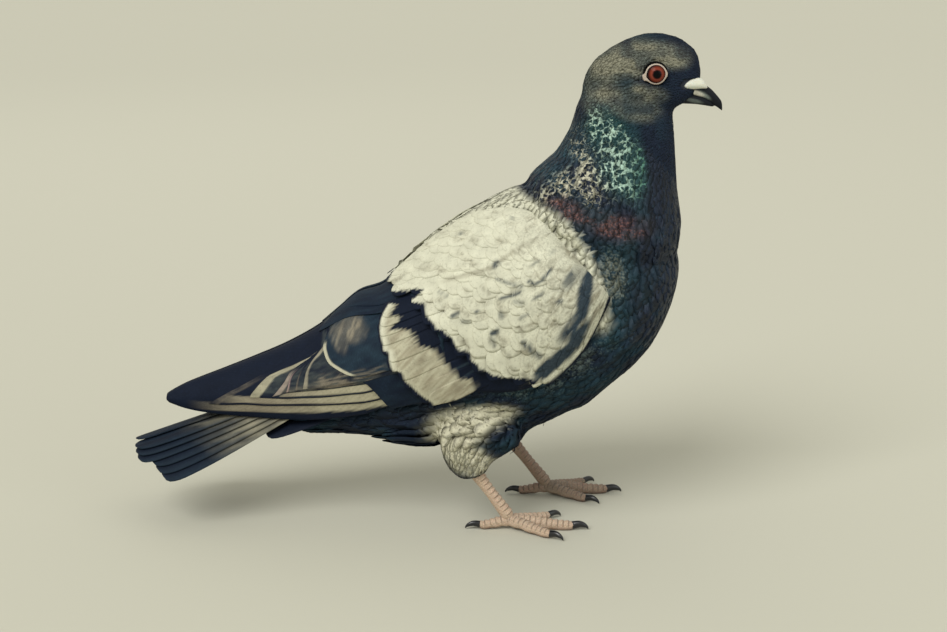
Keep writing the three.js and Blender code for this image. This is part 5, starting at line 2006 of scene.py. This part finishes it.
for leg in LEGS:
    side, x, heel = LEGS[leg]
    spot = foot_frame(leg)
    # painted shade: the far foot's colours are darkened
    shade = 1.0 if leg == "right" else FAR_FOOT_PAINTED_SHADE
    tint = lambda points, shade=shade: foot_tint(points, shade)
    shank_line = [spot(share * heel, 0, z) for share, z in SHANK_LINE]
    shank_radius = through((0, 3.4), (0.15, 3.2), (0.5, 2.6), (0.9, 3.0), (1, 2.8))
    shapes = [(along_line(shank_line, shank_radius, 13, 0.4), 36, 150, 13)]
    for toe in TOES:
        toe_line, claw_line, thick, plates = toe_parts(leg, toe)
        toe_radius = lambda t, r=thick: through((0, r + 0.4), (0.5, r), (0.9, 0.82 * r), (1, 0.7 * r))(t)
        shapes.append((along_line(toe_line, toe_radius, plates, 0.45, 3), 28, 8 * plates + 24, plates))
        claw_radius = lambda t, r=thick: through((0, 0.8 * r), (0.6, 0.55 * r), (1, 0.22))(t)
        bare_piece(
            f"claw_horn_{leg}_{toe}",
            grounded(along_line(claw_line, claw_radius, squash=0.8)),
            lambda points: np.tile(CLAW, (len(points), 1)),
            claw_horn,
            "claw_horn",
            f"claw_{leg}_{toe}",
            segments=20,
            rings=28,
        )
    made = []
    for shape, segments, rings, plates in shapes:
        made.append(sphere_warp("part", scaled(grounded(shape), tint, plates), segments, rings))
    foot = joined(f"scaled_foot_{leg}", made)
    foot.data.materials.append(foot_skin)
    on_bird(foot, "foot_skin", f"foot_{leg}")

# %% [markdown]
# ## Floor, light and camera
# The bird stands on a plain pale floor in soft studio light. A lamp close by could be the main light, but it
# grows weaker with distance. A broad warm sun, high on the left in front, lights all of the bird alike. A
# weak cool lamp on the right, a faint one behind and an even sky let the dark plumage keep its form. The
# camera looks square at the bird's right side, from a little above.

# %% Floor
floor_bm = bmesh.new()
bmesh.ops.create_grid(floor_bm, x_segments=1, y_segments=1, size=60)
floor_mesh = bpy.data.meshes.new("floor")
floor_bm.to_mesh(floor_mesh)
floor_bm.free()
floor = in_scene("floor", floor_mesh)
floor_material, _ = new_material("pale floor", Base_Color=(*ink("#c1c0b2"), 1), Roughness=0.9)
floor_mesh.materials.append(floor_material)

# %% Sky and lamps
world = bpy.data.worlds.new("studio")
bpy.context.scene.world = world
world.use_nodes = True
world.node_tree.nodes["Background"].inputs["Color"].default_value = (*ink("#d3d1c6"), 1)
world.node_tree.nodes["Background"].inputs["Strength"].default_value = 1.0


def lamp(name, place, size, power, colour):
    """A square area lamp at a place in metres, turned to the bird."""
    light = bpy.data.lights.new(name, "AREA")
    light.size, light.energy, light.color = size, power, colour
    holder = in_scene(name, light)
    holder.location = place
    aim = Vector((0, 0, 0.12)) - Vector(place)
    holder.rotation_euler = aim.to_track_quat("-Z", "Y").to_euler()


sun = bpy.data.lights.new("key", "SUN")
sun.energy, sun.angle, sun.color = 2.0, math.radians(35), (1, 0.99, 0.96)
sun_holder = in_scene("key", sun)
sun_holder.rotation_euler = (math.radians(46), 0, math.radians(-34))
lamp("fill", (1.2, -0.9, 0.6), 1.0, 3, (0.9, 0.96, 1))
lamp("rim", (-0.4, 1.3, 1.1), 0.8, 1.2, (1, 0.98, 0.94))
bpy.context.scene.view_settings.view_transform = "Standard"
print("lights:", [light.name for light in bpy.data.lights])

# %% Camera
TARGET = metres([-30.5, 0, 99])
DISTANCE = 0.85
ELEVATION = math.radians(14)
FOCAL_PIXELS = 1771
IMAGE_WIDTH = 947
SENSOR = 36
camera_data = bpy.data.cameras.new("camera")
camera_data.sensor_width = SENSOR
camera_data.lens = SENSOR * FOCAL_PIXELS / IMAGE_WIDTH
camera = in_scene("camera", camera_data)
back = Vector((0, -math.cos(ELEVATION), math.sin(ELEVATION)))
camera.location = Vector(TARGET) + back * DISTANCE
camera.rotation_euler = (-back).to_track_quat("-Z", "Y").to_euler()
bpy.context.scene.camera = camera
print("camera at", [round(v, 3) for v in camera.location])
